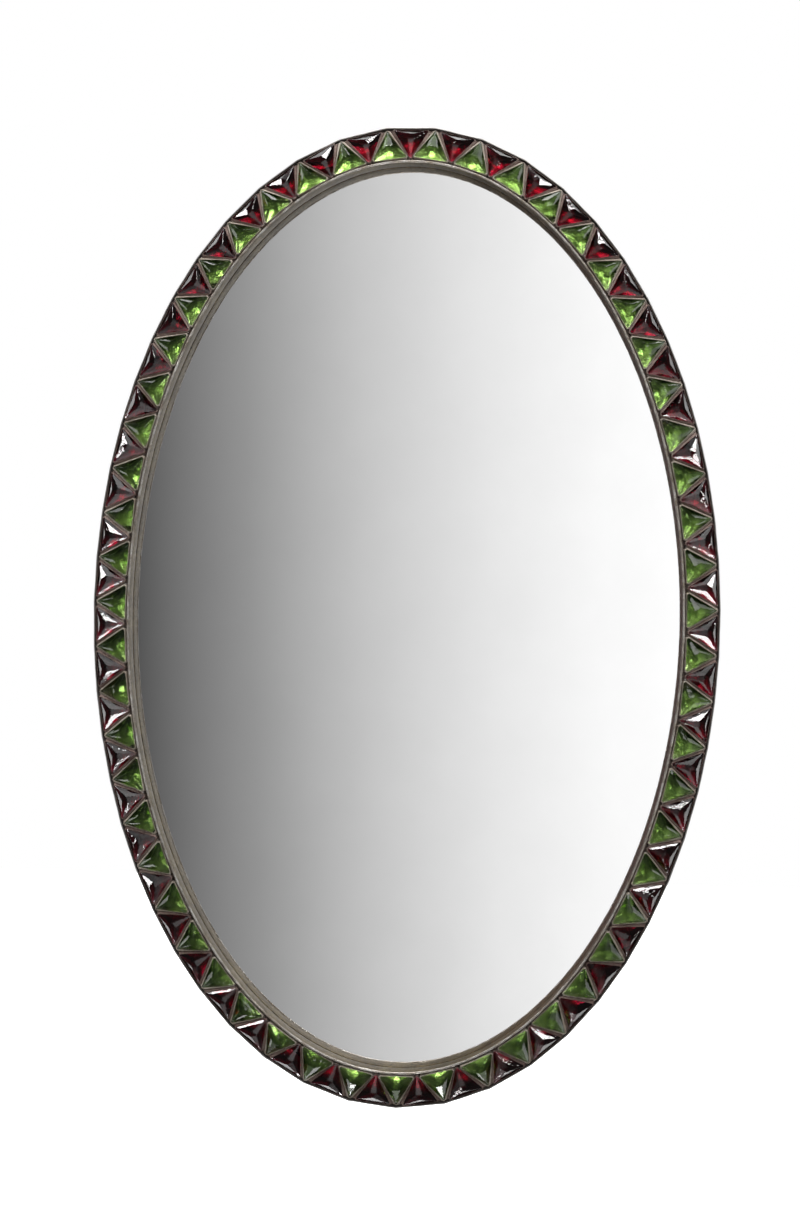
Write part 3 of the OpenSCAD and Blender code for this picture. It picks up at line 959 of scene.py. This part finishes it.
# %% [markdown]
# ## Lumps of solder
#
# Where grooves meet, the solder stands up in small bright lumps. Balls would look like beads on
# a string, so a few drops are flattened and dented, and the setting tree picks one for each end
# of a groove and varies its size. Each is a coarse ball of 80 faces, because there are over two
# hundred of them.


# %% Lumps of solder
DROP_R, DROP_DENT, DROP_FLAT = 0.75 * MM, 0.07, 0.7


def drop(name, rng):
    shape = bmesh.new()
    bmesh.ops.create_icosphere(shape, subdivisions=2, radius=DROP_R)
    for v in shape.verts:
        v.co = v.co * (1 + rng.normal(0, DROP_DENT))
        v.co.z *= DROP_FLAT
    mesh = bpy.data.meshes.new(name)
    shape.to_mesh(mesh)
    shape.free()
    for face in mesh.polygons:
        face.use_smooth = True
    return mesh


drops = [drop(f"drop_{i}", smith) for i in range(4)]
solder_lumps = set_parts("solder_lumps", lump_seats, drops, bright_solder, 17, size_change=0.35)
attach(solder_lumps, "frame")

# %% [markdown]
# ## Bands and bead
#
# Three strips run around the oval: the outer band, the inner band and the bead on its front
# edge. A tree draws the oval from its own formula, carries a section along it and lets the
# result waver a little, as sheet metal does when it is bent by hand. The section is drawn
# flat, with x towards the wall and y towards the outside.


# %% The strip tree
def strip_tree():
    tree, given, out = new_tree("strip around the oval", Half_Width="Float", Half_Height="Float",
                                Inset="Float", Section="Object", Waver="Float", Waver_Size="Float",
                                Finish="Material")
    share = add(tree, "GeometryNodeInputIndex").outputs[0]
    count = add(tree, "GeometryNodeAttributeDomainSize", Geometry=given["Geometry"]).outputs[0]
    t = calc(tree, "MULTIPLY", calc(tree, "DIVIDE", share, count), 2 * math.pi)
    sine, cosine = calc(tree, "SINE", t), calc(tree, "COSINE", t)
    way = add(tree, "ShaderNodeCombineXYZ", in_0=calc(tree, "MULTIPLY", given["Half Height"], sine),
              in_2=calc(tree, "MULTIPLY", given["Half Width"], cosine)).outputs[0]
    spot = add(tree, "ShaderNodeCombineXYZ", in_0=calc(tree, "MULTIPLY", given["Half Width"], sine),
               in_2=calc(tree, "MULTIPLY", given["Half Height"], cosine)).outputs[0]
    inwards = scaled(tree, vector_calc(tree, "NORMALIZE", way), calc(tree, "MULTIPLY", given["Inset"], -1.0))
    drawn = add(tree, "GeometryNodeSetPosition", Geometry=given["Geometry"],
                Position=vector_calc(tree, "ADD", spot, inwards))
    line = add(tree, "GeometryNodeMeshToCurve", Mesh=drawn.outputs[0])
    upright_line = add(tree, "GeometryNodeSetCurveNormal", {"mode": "FREE"}, Curve=line.outputs[0],
                       Normal=(0.0, 1.0, 0.0))
    section = add(tree, "GeometryNodeObjectInfo", Object=given["Section"])
    section_line = add(tree, "GeometryNodeMeshToCurve", Mesh=section.outputs["Geometry"])
    swept = add(tree, "GeometryNodeCurveToMesh", Curve=upright_line.outputs[0],
                Profile_Curve=section_line.outputs[0])
    here = add(tree, "GeometryNodeInputPosition").outputs[0]
    wave = add(tree, "ShaderNodeTexNoise", Vector=here, Scale=calc(tree, "DIVIDE", 1.0, given["Waver Size"]),
               Detail=3.0)
    push = scaled(tree, vector_calc(tree, "SUBTRACT", wave.outputs[1], (0.5, 0.5, 0.5)), given["Waver"])
    waved = add(tree, "GeometryNodeSetPosition", Geometry=swept.outputs[0], Offset=push)
    real = add(tree, "GeometryNodeRealizeInstances", Geometry=waved.outputs[0])
    done = add(tree, "GeometryNodeSetMaterial", Geometry=real.outputs[0], Material=given["Finish"])
    tree.links.new(done.outputs[0], out[0])
    return tree


strip = strip_tree()
print("the strip tree has", len(strip.nodes), "nodes")


# %% [markdown]
# ## Sections of a strip
#
# A section is a closed loop of edges with rounded corners. A curve circle or a beveled
# rectangle would do for one of the strips, but one function for both keeps their sizes in
# millimetres, side by side.


# %% Sections
def loop_mesh(name, points):
    count = len(points)
    return mesh_of(name, points, edges=[(i, (i + 1) % count) for i in range(count)])


def rounded_box(x0, x1, y0, y1, radius, steps=3):
    """The outline of a box with round corners, in millimetres, as points in metres."""
    points = []
    for cx, cy, start in ((x1 - radius, y1 - radius, 0), (x0 + radius, y1 - radius, 90),
                          (x0 + radius, y0 + radius, 180), (x1 - radius, y0 + radius, 270)):
        for step in range(steps + 1):
            a = math.radians(start + 90 * step / steps)
            points.append(((cx + radius * math.cos(a)) * MM, (cy + radius * math.sin(a)) * MM, 0.0))
    return points


# %% [markdown]
# ## Running a strip
#
# The tree starts from a loop of points that are all in one place, and spreads them over the
# oval by their number. What comes out takes the place of the plain node, which is hidden.


# %% Running a strip
def run_strip(name, inset_by, section_points, finish, node, steps=440, waver=0.0, waver_size=15 * MM):
    section = bpy.data.objects.new(name + "_section", loop_mesh(name + "_section", section_points))
    made = run_tree(strip, name, loop_mesh(name + "_line", [(0, 0, 0)] * steps), Half_Width=HALF_W,
                    Half_Height=HALF_H, Inset=inset_by, Section=section, Waver=waver,
                    Waver_Size=waver_size, Finish=finish)
    tidy_normals(made.data)
    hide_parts(node)
    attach(made, "frame")


def node_depths(node):
    """How far in front of the wall a node starts and ends, in millimetres."""
    low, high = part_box(node)
    return -high.y / MM, -low.y / MM


bead_back, bead_front = node_depths("sight_bead")
band_back, band_front = node_depths("inner_band")
BEAD_W, INNER_WALL = 1.8, 0.9
BEAD_IN = BAND_IN + BAND_RUN + 0.3 * MM
print("the inner band stands", round(band_back, 1), "to", round(band_front, 1), "mm from the wall")

# %% [markdown]
# ## Wood
#
# A wooden ring carries the whole frame, and the back of it is bare. A wave distorted by noise
# gives the rings of the grain, and a stretched noise gives its fibres. Real wood is a solid, so
# both patterns run through the piece in all three directions, and an edge shows the same grain
# as the face beside it.


# %% The finish of wood
def wood_finish(name, light, dark, along):
    material, tree, shader = new_material(name)
    where = own_space(tree, along)
    rings = add(tree, "ShaderNodeTexWave", {"bands_direction": "X"}, Vector=where, Scale=1 / (6 * MM),
                Distortion=7.0, Detail=4.0, Detail_Scale=1.2).outputs[1]
    fibre = noise(tree, own_space(tree, (along[0] * 3, along[1] * 3, along[2])), 0.5 * MM, 5, 0.6)
    base = blend_colours(tree, rings, light, dark)
    base = blend_colours(tree, spread(tree, fibre, 0.35, 0.75, 0, 0.6), base, dark)
    tree.links.new(base, shader.inputs["Base Color"])
    tree.links.new(spread(tree, fibre, 0.3, 0.7, 0.55, 0.8), shader.inputs["Roughness"])
    bumped(tree, shader, fibre, 0.1 * MM)
    return material


# %% [markdown]
# ## Board, card and felt
#
# The backing board, the card behind the mirror and the felts are all pressed fibres, and only
# differ in colour, in the size of the fibres and in how deep they stand. So they share one
# finish with a fine noise for the fibres and a slow one for wear.


# %% The finish of fibres
def fibre_finish(name, light, dark, size, depth):
    material, tree, shader = new_material(name)
    where = own_space(tree)
    fine = noise(tree, where, size, 6, 0.7)
    slow = noise(tree, where, 45 * MM, 3)
    base = blend_colours(tree, spread(tree, fine, 0.35, 0.65), light, dark)
    base = blend_colours(tree, spread(tree, slow, 0.4, 0.7, 0, 0.5), base, dark)
    tree.links.new(base, shader.inputs["Base Color"])
    tree.links.new(spread(tree, fine, 0.3, 0.7, 0.75, 0.95), shader.inputs["Roughness"])
    bumped(tree, shader, fine, depth)
    return material


# %% [markdown]
# ## The mirror plate
#
# The mirror is a plate of glass that is silvered on its back. Seen from the front it behaves as
# one bright surface, so a metal with almost no roughness does for both, without the double edge
# that a clear plate over silver would need many samples for.


# %% The finish of the mirror
def mirror_finish():
    """Silvered glass: it reflects all but a little, and a slow haze dulls it by almost nothing."""
    material, tree, shader = new_material("silvered_glass")
    haze = noise(tree, own_space(tree), 60 * MM, 4)
    tree.links.new(blend_colours(tree, spread(tree, haze, 0.3, 0.7), (0.94, 0.94, 0.94), (0.91, 0.91, 0.91)),
                   shader.inputs["Base Color"])
    shader.inputs["Metallic"].default_value = 1.0
    tree.links.new(spread(tree, haze, 0.4, 0.8, 0.0, 0.012), shader.inputs["Roughness"])
    return material


core_wood = wood_finish("core_wood", (0.36, 0.21, 0.10), (0.13, 0.065, 0.028), (1, 1, 0.12))
board_fibre = fibre_finish("board_fibre", (0.15, 0.088, 0.05), (0.085, 0.048, 0.027), 1.2 * MM, 0.08 * MM)
card_fibre = fibre_finish("card_fibre", (0.46, 0.36, 0.24), (0.36, 0.27, 0.17), 0.6 * MM, 0.05 * MM)
dark_felt = fibre_finish("dark_felt", (0.03, 0.03, 0.035), (0.012, 0.012, 0.015), 0.25 * MM, 0.15 * MM)
green_felt = fibre_finish("green_felt", (0.06, 0.085, 0.04), (0.03, 0.045, 0.02), 0.25 * MM, 0.15 * MM)
silvered_glass = mirror_finish()
print("finishes:", ", ".join(one.name for one in (core_wood, board_fibre, card_fibre, dark_felt, green_felt)))

# %% [markdown]
# ## Broken edges
#
# The turn buttons, the straps, the board and the wooden ring have the right shape already, but
# their edges are too sharp to be real. A file or a tumbler takes them off. A copy of the plain
# solid is merged, its flat triangles are joined, and only its sharp edges are bevelled.


# %% Broken edges
def finish_copy(name, node, material, body, edge=0.3 * MM):
    """A copy of a plain node with its sharp edges broken, as a file or a tumbler leaves them."""
    shape = bmesh.new()
    shape.from_mesh(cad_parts[node].data)
    bmesh.ops.remove_doubles(shape, verts=shape.verts, dist=0.002 * MM)
    bmesh.ops.dissolve_limit(shape, angle_limit=math.radians(1.0), verts=shape.verts, edges=shape.edges)
    sharp = [e for e in shape.edges if len(e.link_faces) == 2 and e.calc_face_angle(0) > math.radians(35)]
    bmesh.ops.bevel(shape, geom=sharp, offset=edge, segments=2, profile=0.6, affect="EDGES",
                    clamp_overlap=True)
    bmesh.ops.recalc_face_normals(shape, faces=shape.faces)
    mesh = bpy.data.meshes.new(name)
    shape.to_mesh(mesh)
    shape.free()
    mesh.materials.clear()
    mesh.materials.append(material)
    made = new_object(name, mesh)
    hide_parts(node)
    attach(made, body)
    return made


for number in range(1, 7):
    finish_copy(f"turned_button_{number}", f"turn_button_{number}", brass, f"button_{number}")
for side in ("right", "left"):
    finish_copy(f"strap_{side}", f"hanger_strap_{side}", zinc_steel, "frame", 0.2 * MM)
finish_copy("backing_board_cut", "backing_board", board_fibre, "frame", 0.25 * MM)
core_ring = finish_copy("core_ring_turned", "core_ring", core_wood, "frame", 0.5 * MM)
print("the wooden ring has", len(core_ring.data.polygons), "faces after its edges are broken")


# %% [markdown]
# ## Where the screws are
#
# The plain model holds each kind of screw as one node with several loose solids. Their places
# could be typed in again, but they are measured from the node instead: its corners are walked
# from one to the next until nothing is left, and each island of corners is one screw.


# %% Where the screws are
def node_islands(node):
    """The boxes of the loose solids of a node."""
    shape = bmesh.new()
    shape.from_mesh(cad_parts[node].data)
    bmesh.ops.remove_doubles(shape, verts=shape.verts, dist=0.002 * MM)
    left, boxes = set(shape.verts), []
    while left:
        reached, ahead = set(), [left.pop()]
        while ahead:
            corner = ahead.pop()
            if corner in reached:
                continue
            reached.add(corner)
            ahead += [edge.other_vert(corner) for edge in corner.link_edges]
        left -= reached
        spots = np.array([corner.co for corner in reached])
        boxes.append((spots.min(0), spots.max(0)))
    shape.free()
    return boxes


# %% [markdown]
# ## A slotted screw
#
# The screws on an old frame have domed heads with one slot. The dome is turned from a short
# profile, and the slot is cut out of it with a box. A slot that is only painted or bumped would
# vanish from the side.


# %% A slotted screw
def screw_part(name, radius, height, length):
    """A domed head with a slot across it, on a plain shank. Its head starts at zero and goes up."""
    steps = 28
    outline_points = [(radius * 0.45, -length), (radius * 0.5, 0), (radius, 0),
                      (radius * 0.98, height * 0.35)]
    outline_points += [(radius * math.cos(a), height * (0.35 + 0.65 * math.sin(a)))
                       for a in (0.45, 0.8, 1.15, 1.4)]
    points = [(r * math.cos(2 * math.pi * i / steps), r * math.sin(2 * math.pi * i / steps), z)
              for r, z in outline_points for i in range(steps)]
    faces = [tuple(reversed(range(steps)))]
    for row in range(len(outline_points) - 1):
        faces += ring_faces(row * steps, (row + 1) * steps, steps)
    faces.append(tuple(range((len(outline_points) - 1) * steps, len(outline_points) * steps)))
    head = new_object(name, mesh_of(name, points, faces))
    half, top, floor_z = radius * 0.13, height * 1.5, height * 0.45
    reach = radius * 1.2
    corners = [(x, y, z) for x in (-half, half) for y in (-reach, reach) for z in (floor_z, top)]
    box_faces = [(0, 1, 3, 2), (4, 6, 7, 5), (0, 4, 5, 1), (2, 3, 7, 6), (0, 2, 6, 4), (1, 5, 7, 3)]
    slot_box = new_object(name + "_slot", mesh_of(name + "_slot", corners, box_faces))
    for mesh in (head.data, slot_box.data):
        tidy_normals(mesh)
    cut = head.modifiers.new("slot", "BOOLEAN")
    cut.operation, cut.solver, cut.object = "DIFFERENCE", "EXACT", slot_box
    view = bpy.context.evaluated_depsgraph_get()
    mesh = bpy.data.meshes.new_from_object(head.evaluated_get(view), depsgraph=view)
    bpy.data.objects.remove(head)
    bpy.data.objects.remove(slot_box)
    return mesh


# %% [markdown]
# ## Setting the screws
#
# The slots end up at any angle, as they do when screws are driven by hand. The setting tree
# puts the heads on their seats, facing the wall.

# %% Setting the screws
HEAD_H = 1.5 * MM
BACK = np.array((0.0, 1.0, 0.0))
for node, material, slot in (("turn_button_screws", brass, "button_brass"),
                             ("hanger_screws", zinc_steel, "hanger_steel")):
    boxes = node_islands(node)
    low, high = boxes[0]
    radius, depth = (high[0] - low[0]) / 2, high[1] - low[1]
    seats = []
    for low, high in boxes:
        turned = smith.uniform(0, math.pi)
        middle = np.array(((low[0] + high[0]) / 2, high[1] - HEAD_H, (low[2] + high[2]) / 2))
        seats.append((middle, BACK, np.array((math.cos(turned), 0.0, math.sin(turned)))))
    part = screw_part(node + "_part", radius, HEAD_H, depth - HEAD_H)
    screws = set_parts(node + "_set", seats, [part], material, 23)
    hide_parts(node)
    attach(screws, "frame")
    print(node, len(boxes), round(2 * radius / MM, 1), "mm across", round(depth / MM, 1), "mm deep")

# %% [markdown]
# ## Pieces that only take a finish
#
# A flat plate of glass, a sheet of card and a bent wire are already what they should be. Making
# them again would add nothing, so these nodes stay as they are and only take a finish.

# %% Pieces that only take a finish
plain_pieces = {
    "mirror_plate": silvered_glass, "mirror_card": card_fibre, "mirror_felt": dark_felt,
    "wall_pads": green_felt, "base_ring": outer_metal, "bed_ring": solder_metal,
    "hanger_ring_right": zinc_steel, "hanger_ring_left": zinc_steel,
}
for node, material in plain_pieces.items():
    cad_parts[node].data.materials.clear()
    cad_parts[node].data.materials.append(material)
print(len(plain_pieces), "plain nodes took a finish")

# %% [markdown]
# ## The inner band and its bead
#
# The inner band lines the opening from its front edge back to the mirror, and a rounded bead is
# soldered along that edge. Both follow the oval at the same depth, so both are strips. The bead
# wavers over millimetres and the band over centimetres, because one is solder and the other is
# sheet.

# %% The inner band and its bead
run_strip("inner_band_strip", BEAD_IN + BEAD_W / 2 * MM,
          rounded_box(-band_front, -band_back, -INNER_WALL / 2, INNER_WALL / 2, 0.3),
          inner_metal, "inner_band", waver=0.5 * MM)
run_strip("sight_bead_wire", BEAD_IN + BEAD_W / 2 * MM,
          rounded_box(-bead_front, -bead_back + 0.05, -BEAD_W / 2, BEAD_W / 2, 0.75, 4),
          bead_metal, "sight_bead", steps=900, waver=0.55 * MM, waver_size=2.5 * MM)

# %% [markdown]
# ## The outer band
#
# The outer band is bent to flats, one beside the base of each red stone, with a corner at the
# point of each green one. The strip tree would round those corners off, so the band is lofted
# here from mitred sections, with a few steps to a flat for the waver of sheet metal.


# %% A band with flats
FLAT_STEPS = 6


def flat_band(name, section, finish, steps):
    corners = [outline(place(k - 0.5)) for k in range(PAIRS)]
    normals = []
    for k in range(PAIRS):
        along = corners[(k + 1) % PAIRS] - corners[k]
        normals.append(np.array((-along[1], along[0])) / np.linalg.norm(along))
    points = []
    for k in range(PAIRS):
        mitre = normals[k - 1] + normals[k]
        mitre = mitre / (mitre @ normals[k])
        after = normals[k] + normals[(k + 1) % PAIRS]
        after = after / (after @ normals[k])
        for step in range(steps):
            share = step / steps
            spot = corners[k] * (1 - share) + corners[(k + 1) % PAIRS] * share
            square = mitre * (1 - share) + after * share
            waver = smith.normal(0, 0.05) * MM
            points += [upright(spot - square * (depth * MM + waver), forward * MM)
                       for depth, forward in section]
    rows, across = PAIRS * steps, len(section)
    faces = [(i * across + j, i * across + (j + 1) % across, (i + 1) % rows * across + (j + 1) % across,
              (i + 1) % rows * across + j) for i in range(rows) for j in range(across)]
    mesh = mesh_of(name, points, faces)
    tidy_normals(mesh)
    mesh.materials.append(finish)
    return new_object(name, mesh)


# %% [markdown]
# ## The section of the outer band
#
# The band is a millimetre thick. Its front edge is rounded by wear, and its back edge is left
# square, because nobody touches it. The section is drawn from the outside in.

# %% The outer band
outer_back, outer_front = node_depths("outer_band")
band_section = [(0.0, outer_back), (0.0, outer_front - 0.3), (0.12, outer_front - 0.08), (0.35, outer_front),
                (0.7, outer_front), (0.92, outer_front - 0.08), (1.0, outer_front - 0.3), (1.0, outer_back)]
outer_band = flat_band("outer_band_strip", band_section, outer_metal, FLAT_STEPS)
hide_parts("outer_band")
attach(outer_band, "frame")
print("the outer band stands", round(outer_back, 1), "to", round(outer_front, 1), "mm from the wall")

# %% [markdown]
# ## The studio around the mirror
#
# A mirror and cut stones show what is around them, so an empty grey world would leave them
# dead. White paper behind and above the mirror, and a pale table below it, are what the foils
# throw back through the glass, and a dark room in front keeps the facets deep. Straight ahead a
# wall fades from dark to bright, and that fade is what the mirror plate reflects. The camera
# itself sees plain white instead.


# %% The world
ROOM_LEVEL, PAPER_LEVEL, CEILING_LEVEL, TABLE_LEVEL = 0.06, 2.1, 2.8, 1.3
FADE_FROM, FADE_TO, FADE_LEAN = -0.206, 0.066, 0.045
FADE = ((0.0, 0.095), (0.22, 0.315), (0.44, 0.60), (0.67, 0.85), (0.89, 1.03), (1.0, 1.08))


def studio_world():
    """White paper behind and above, a dark room in front, and a bright wall fading across the mirror."""
    world = bpy.data.worlds.new("studio")
    bpy.context.scene.world = world
    world.use_nodes = True
    tree = world.node_tree
    sky = tree.nodes["Background"]
    way = add(tree, "ShaderNodeTexCoord").outputs["Generated"]
    parts = add(tree, "ShaderNodeSeparateXYZ", in_0=way)
    x, y, z = parts.outputs
    ahead = calc(tree, "MAXIMUM", calc(tree, "ABSOLUTE", y), 0.05)
    across = calc(tree, "DIVIDE", calc(tree, "ADD", x, calc(tree, "MULTIPLY", z, FADE_LEAN)), ahead)
    wall = add(tree, "ShaderNodeValToRGB", in_0=spread(tree, across, FADE_FROM, FADE_TO))
    stops = wall.color_ramp.elements
    for at, level in FADE:
        stop = stops[0] if at == 0 else stops[-1] if at == 1 else stops.new(at)
        stop.color = (level, level, level, 1)
    paper = spread(tree, y, -0.25, 0.25, ROOM_LEVEL, PAPER_LEVEL)
    paper = calc(tree, "ADD", paper, spread(tree, z, 0.86, 0.97, 0, CEILING_LEVEL))
    paper = calc(tree, "ADD", paper, spread(tree, z, -0.78, -0.92, 0, TABLE_LEVEL))
    front = spread(tree, y, -0.905, -0.945)
    level = blend_colours(tree, front, (1, 1, 1), wall.outputs[0])
    tree.links.new(paper, level.node.inputs[6])
    seen = add(tree, "ShaderNodeLightPath").outputs[0]
    level = blend_colours(tree, seen, level, (1, 1, 1))
    tree.links.new(level, sky.inputs["Color"])
    sky.inputs["Strength"].default_value = 1.0


studio_world()
print("the paper behind is", round(PAPER_LEVEL / ROOM_LEVEL), "times as bright as the room in front")

# %% [markdown]
# ## Soft boxes
#
# The corner facets of the stones flash white where they face a lamp, and each lamp is placed
# where the facets of one side of the oval look at it. One large lamp would whiten whole rows.
# Narrow soft boxes light one or two facets in each stone, and leave the rest deep.


# %% Soft boxes
LAMP_DISTANCE = 2.2


def soft_box(name, azimuth, elevation, size, radiance):
    """An area lamp that faces the middle of the mirror. Azimuth 0 is straight in front, and goes right."""
    lamp = bpy.data.lights.new(name, "AREA")
    lamp.shape = "RECTANGLE"
    lamp.size, lamp.size_y = size
    lamp.energy = radiance * math.pi * size[0] * size[1]
    holder = bpy.data.objects.new(name, lamp)
    bpy.context.scene.collection.objects.link(holder)
    a, e = math.radians(azimuth), math.radians(elevation)
    way = Vector((math.sin(a) * math.cos(e), -math.cos(a) * math.cos(e), math.sin(e)))
    holder.location = way * LAMP_DISTANCE
    holder.rotation_mode = "QUATERNION"
    holder.rotation_quaternion = way.to_track_quat("Z", "Y")
    holder.visible_camera = False


lamp_list = (
    ("top_box", 5, 60, (1.3, 0.26), 18), ("left_box", -58, 32, (0.18, 0.6), 18),
    ("left_lower_box", -61, -6, (0.14, 0.4), 14), ("right_upper_box", 50, 31, (0.16, 0.5), 18),
    ("right_lower_box", 54, -12, (0.12, 0.26), 14), ("low_box", -3, -71, (0.8, 0.26), 13),
    ("window", 18, 24, (0.5, 0.5), 2.6),
)
for lamp_line in lamp_list:
    soft_box(*lamp_line)
print(len(lamp_list), "lamps at", LAMP_DISTANCE, "m")

# %% [markdown]
# ## The floor
#
# The floor is pale and far below the mirror, which hangs clear of it. It glows, so that it
# meets the white behind it without a line. Only the camera sees it, because the world already
# holds the pale table that the mirror and the stones reflect, and a second one would light them
# twice.

# %% The floor
FLOOR_Z = -0.62
FLOOR_X, FLOOR_NEAR, FLOOR_FAR = 2.5, -0.95, 3.0
corners = ((-FLOOR_X, FLOOR_NEAR), (FLOOR_X, FLOOR_NEAR), (FLOOR_X, FLOOR_FAR), (-FLOOR_X, FLOOR_FAR))
floor_mesh = mesh_of("floor", [(x, y, FLOOR_Z) for x, y in corners], [(0, 1, 2, 3)])
floor = new_object("floor", floor_mesh)
pale, _, pale_shader = new_material("pale_floor")
pale_shader.inputs["Base Color"].default_value = (0.9, 0.9, 0.9, 1)
pale_shader.inputs["Roughness"].default_value = 0.9
pale_shader.inputs["Emission Color"].default_value = (1, 1, 1, 1)
pale_shader.inputs["Emission Strength"].default_value = 0.9
floor.visible_diffuse = floor.visible_glossy = floor.visible_transmission = False
floor_mesh.materials.append(pale)
bpy.context.scene.view_settings.view_transform = "Standard"
print("the floor is", round((cad_box[0].z - FLOOR_Z) / MM), "mm below the mirror")
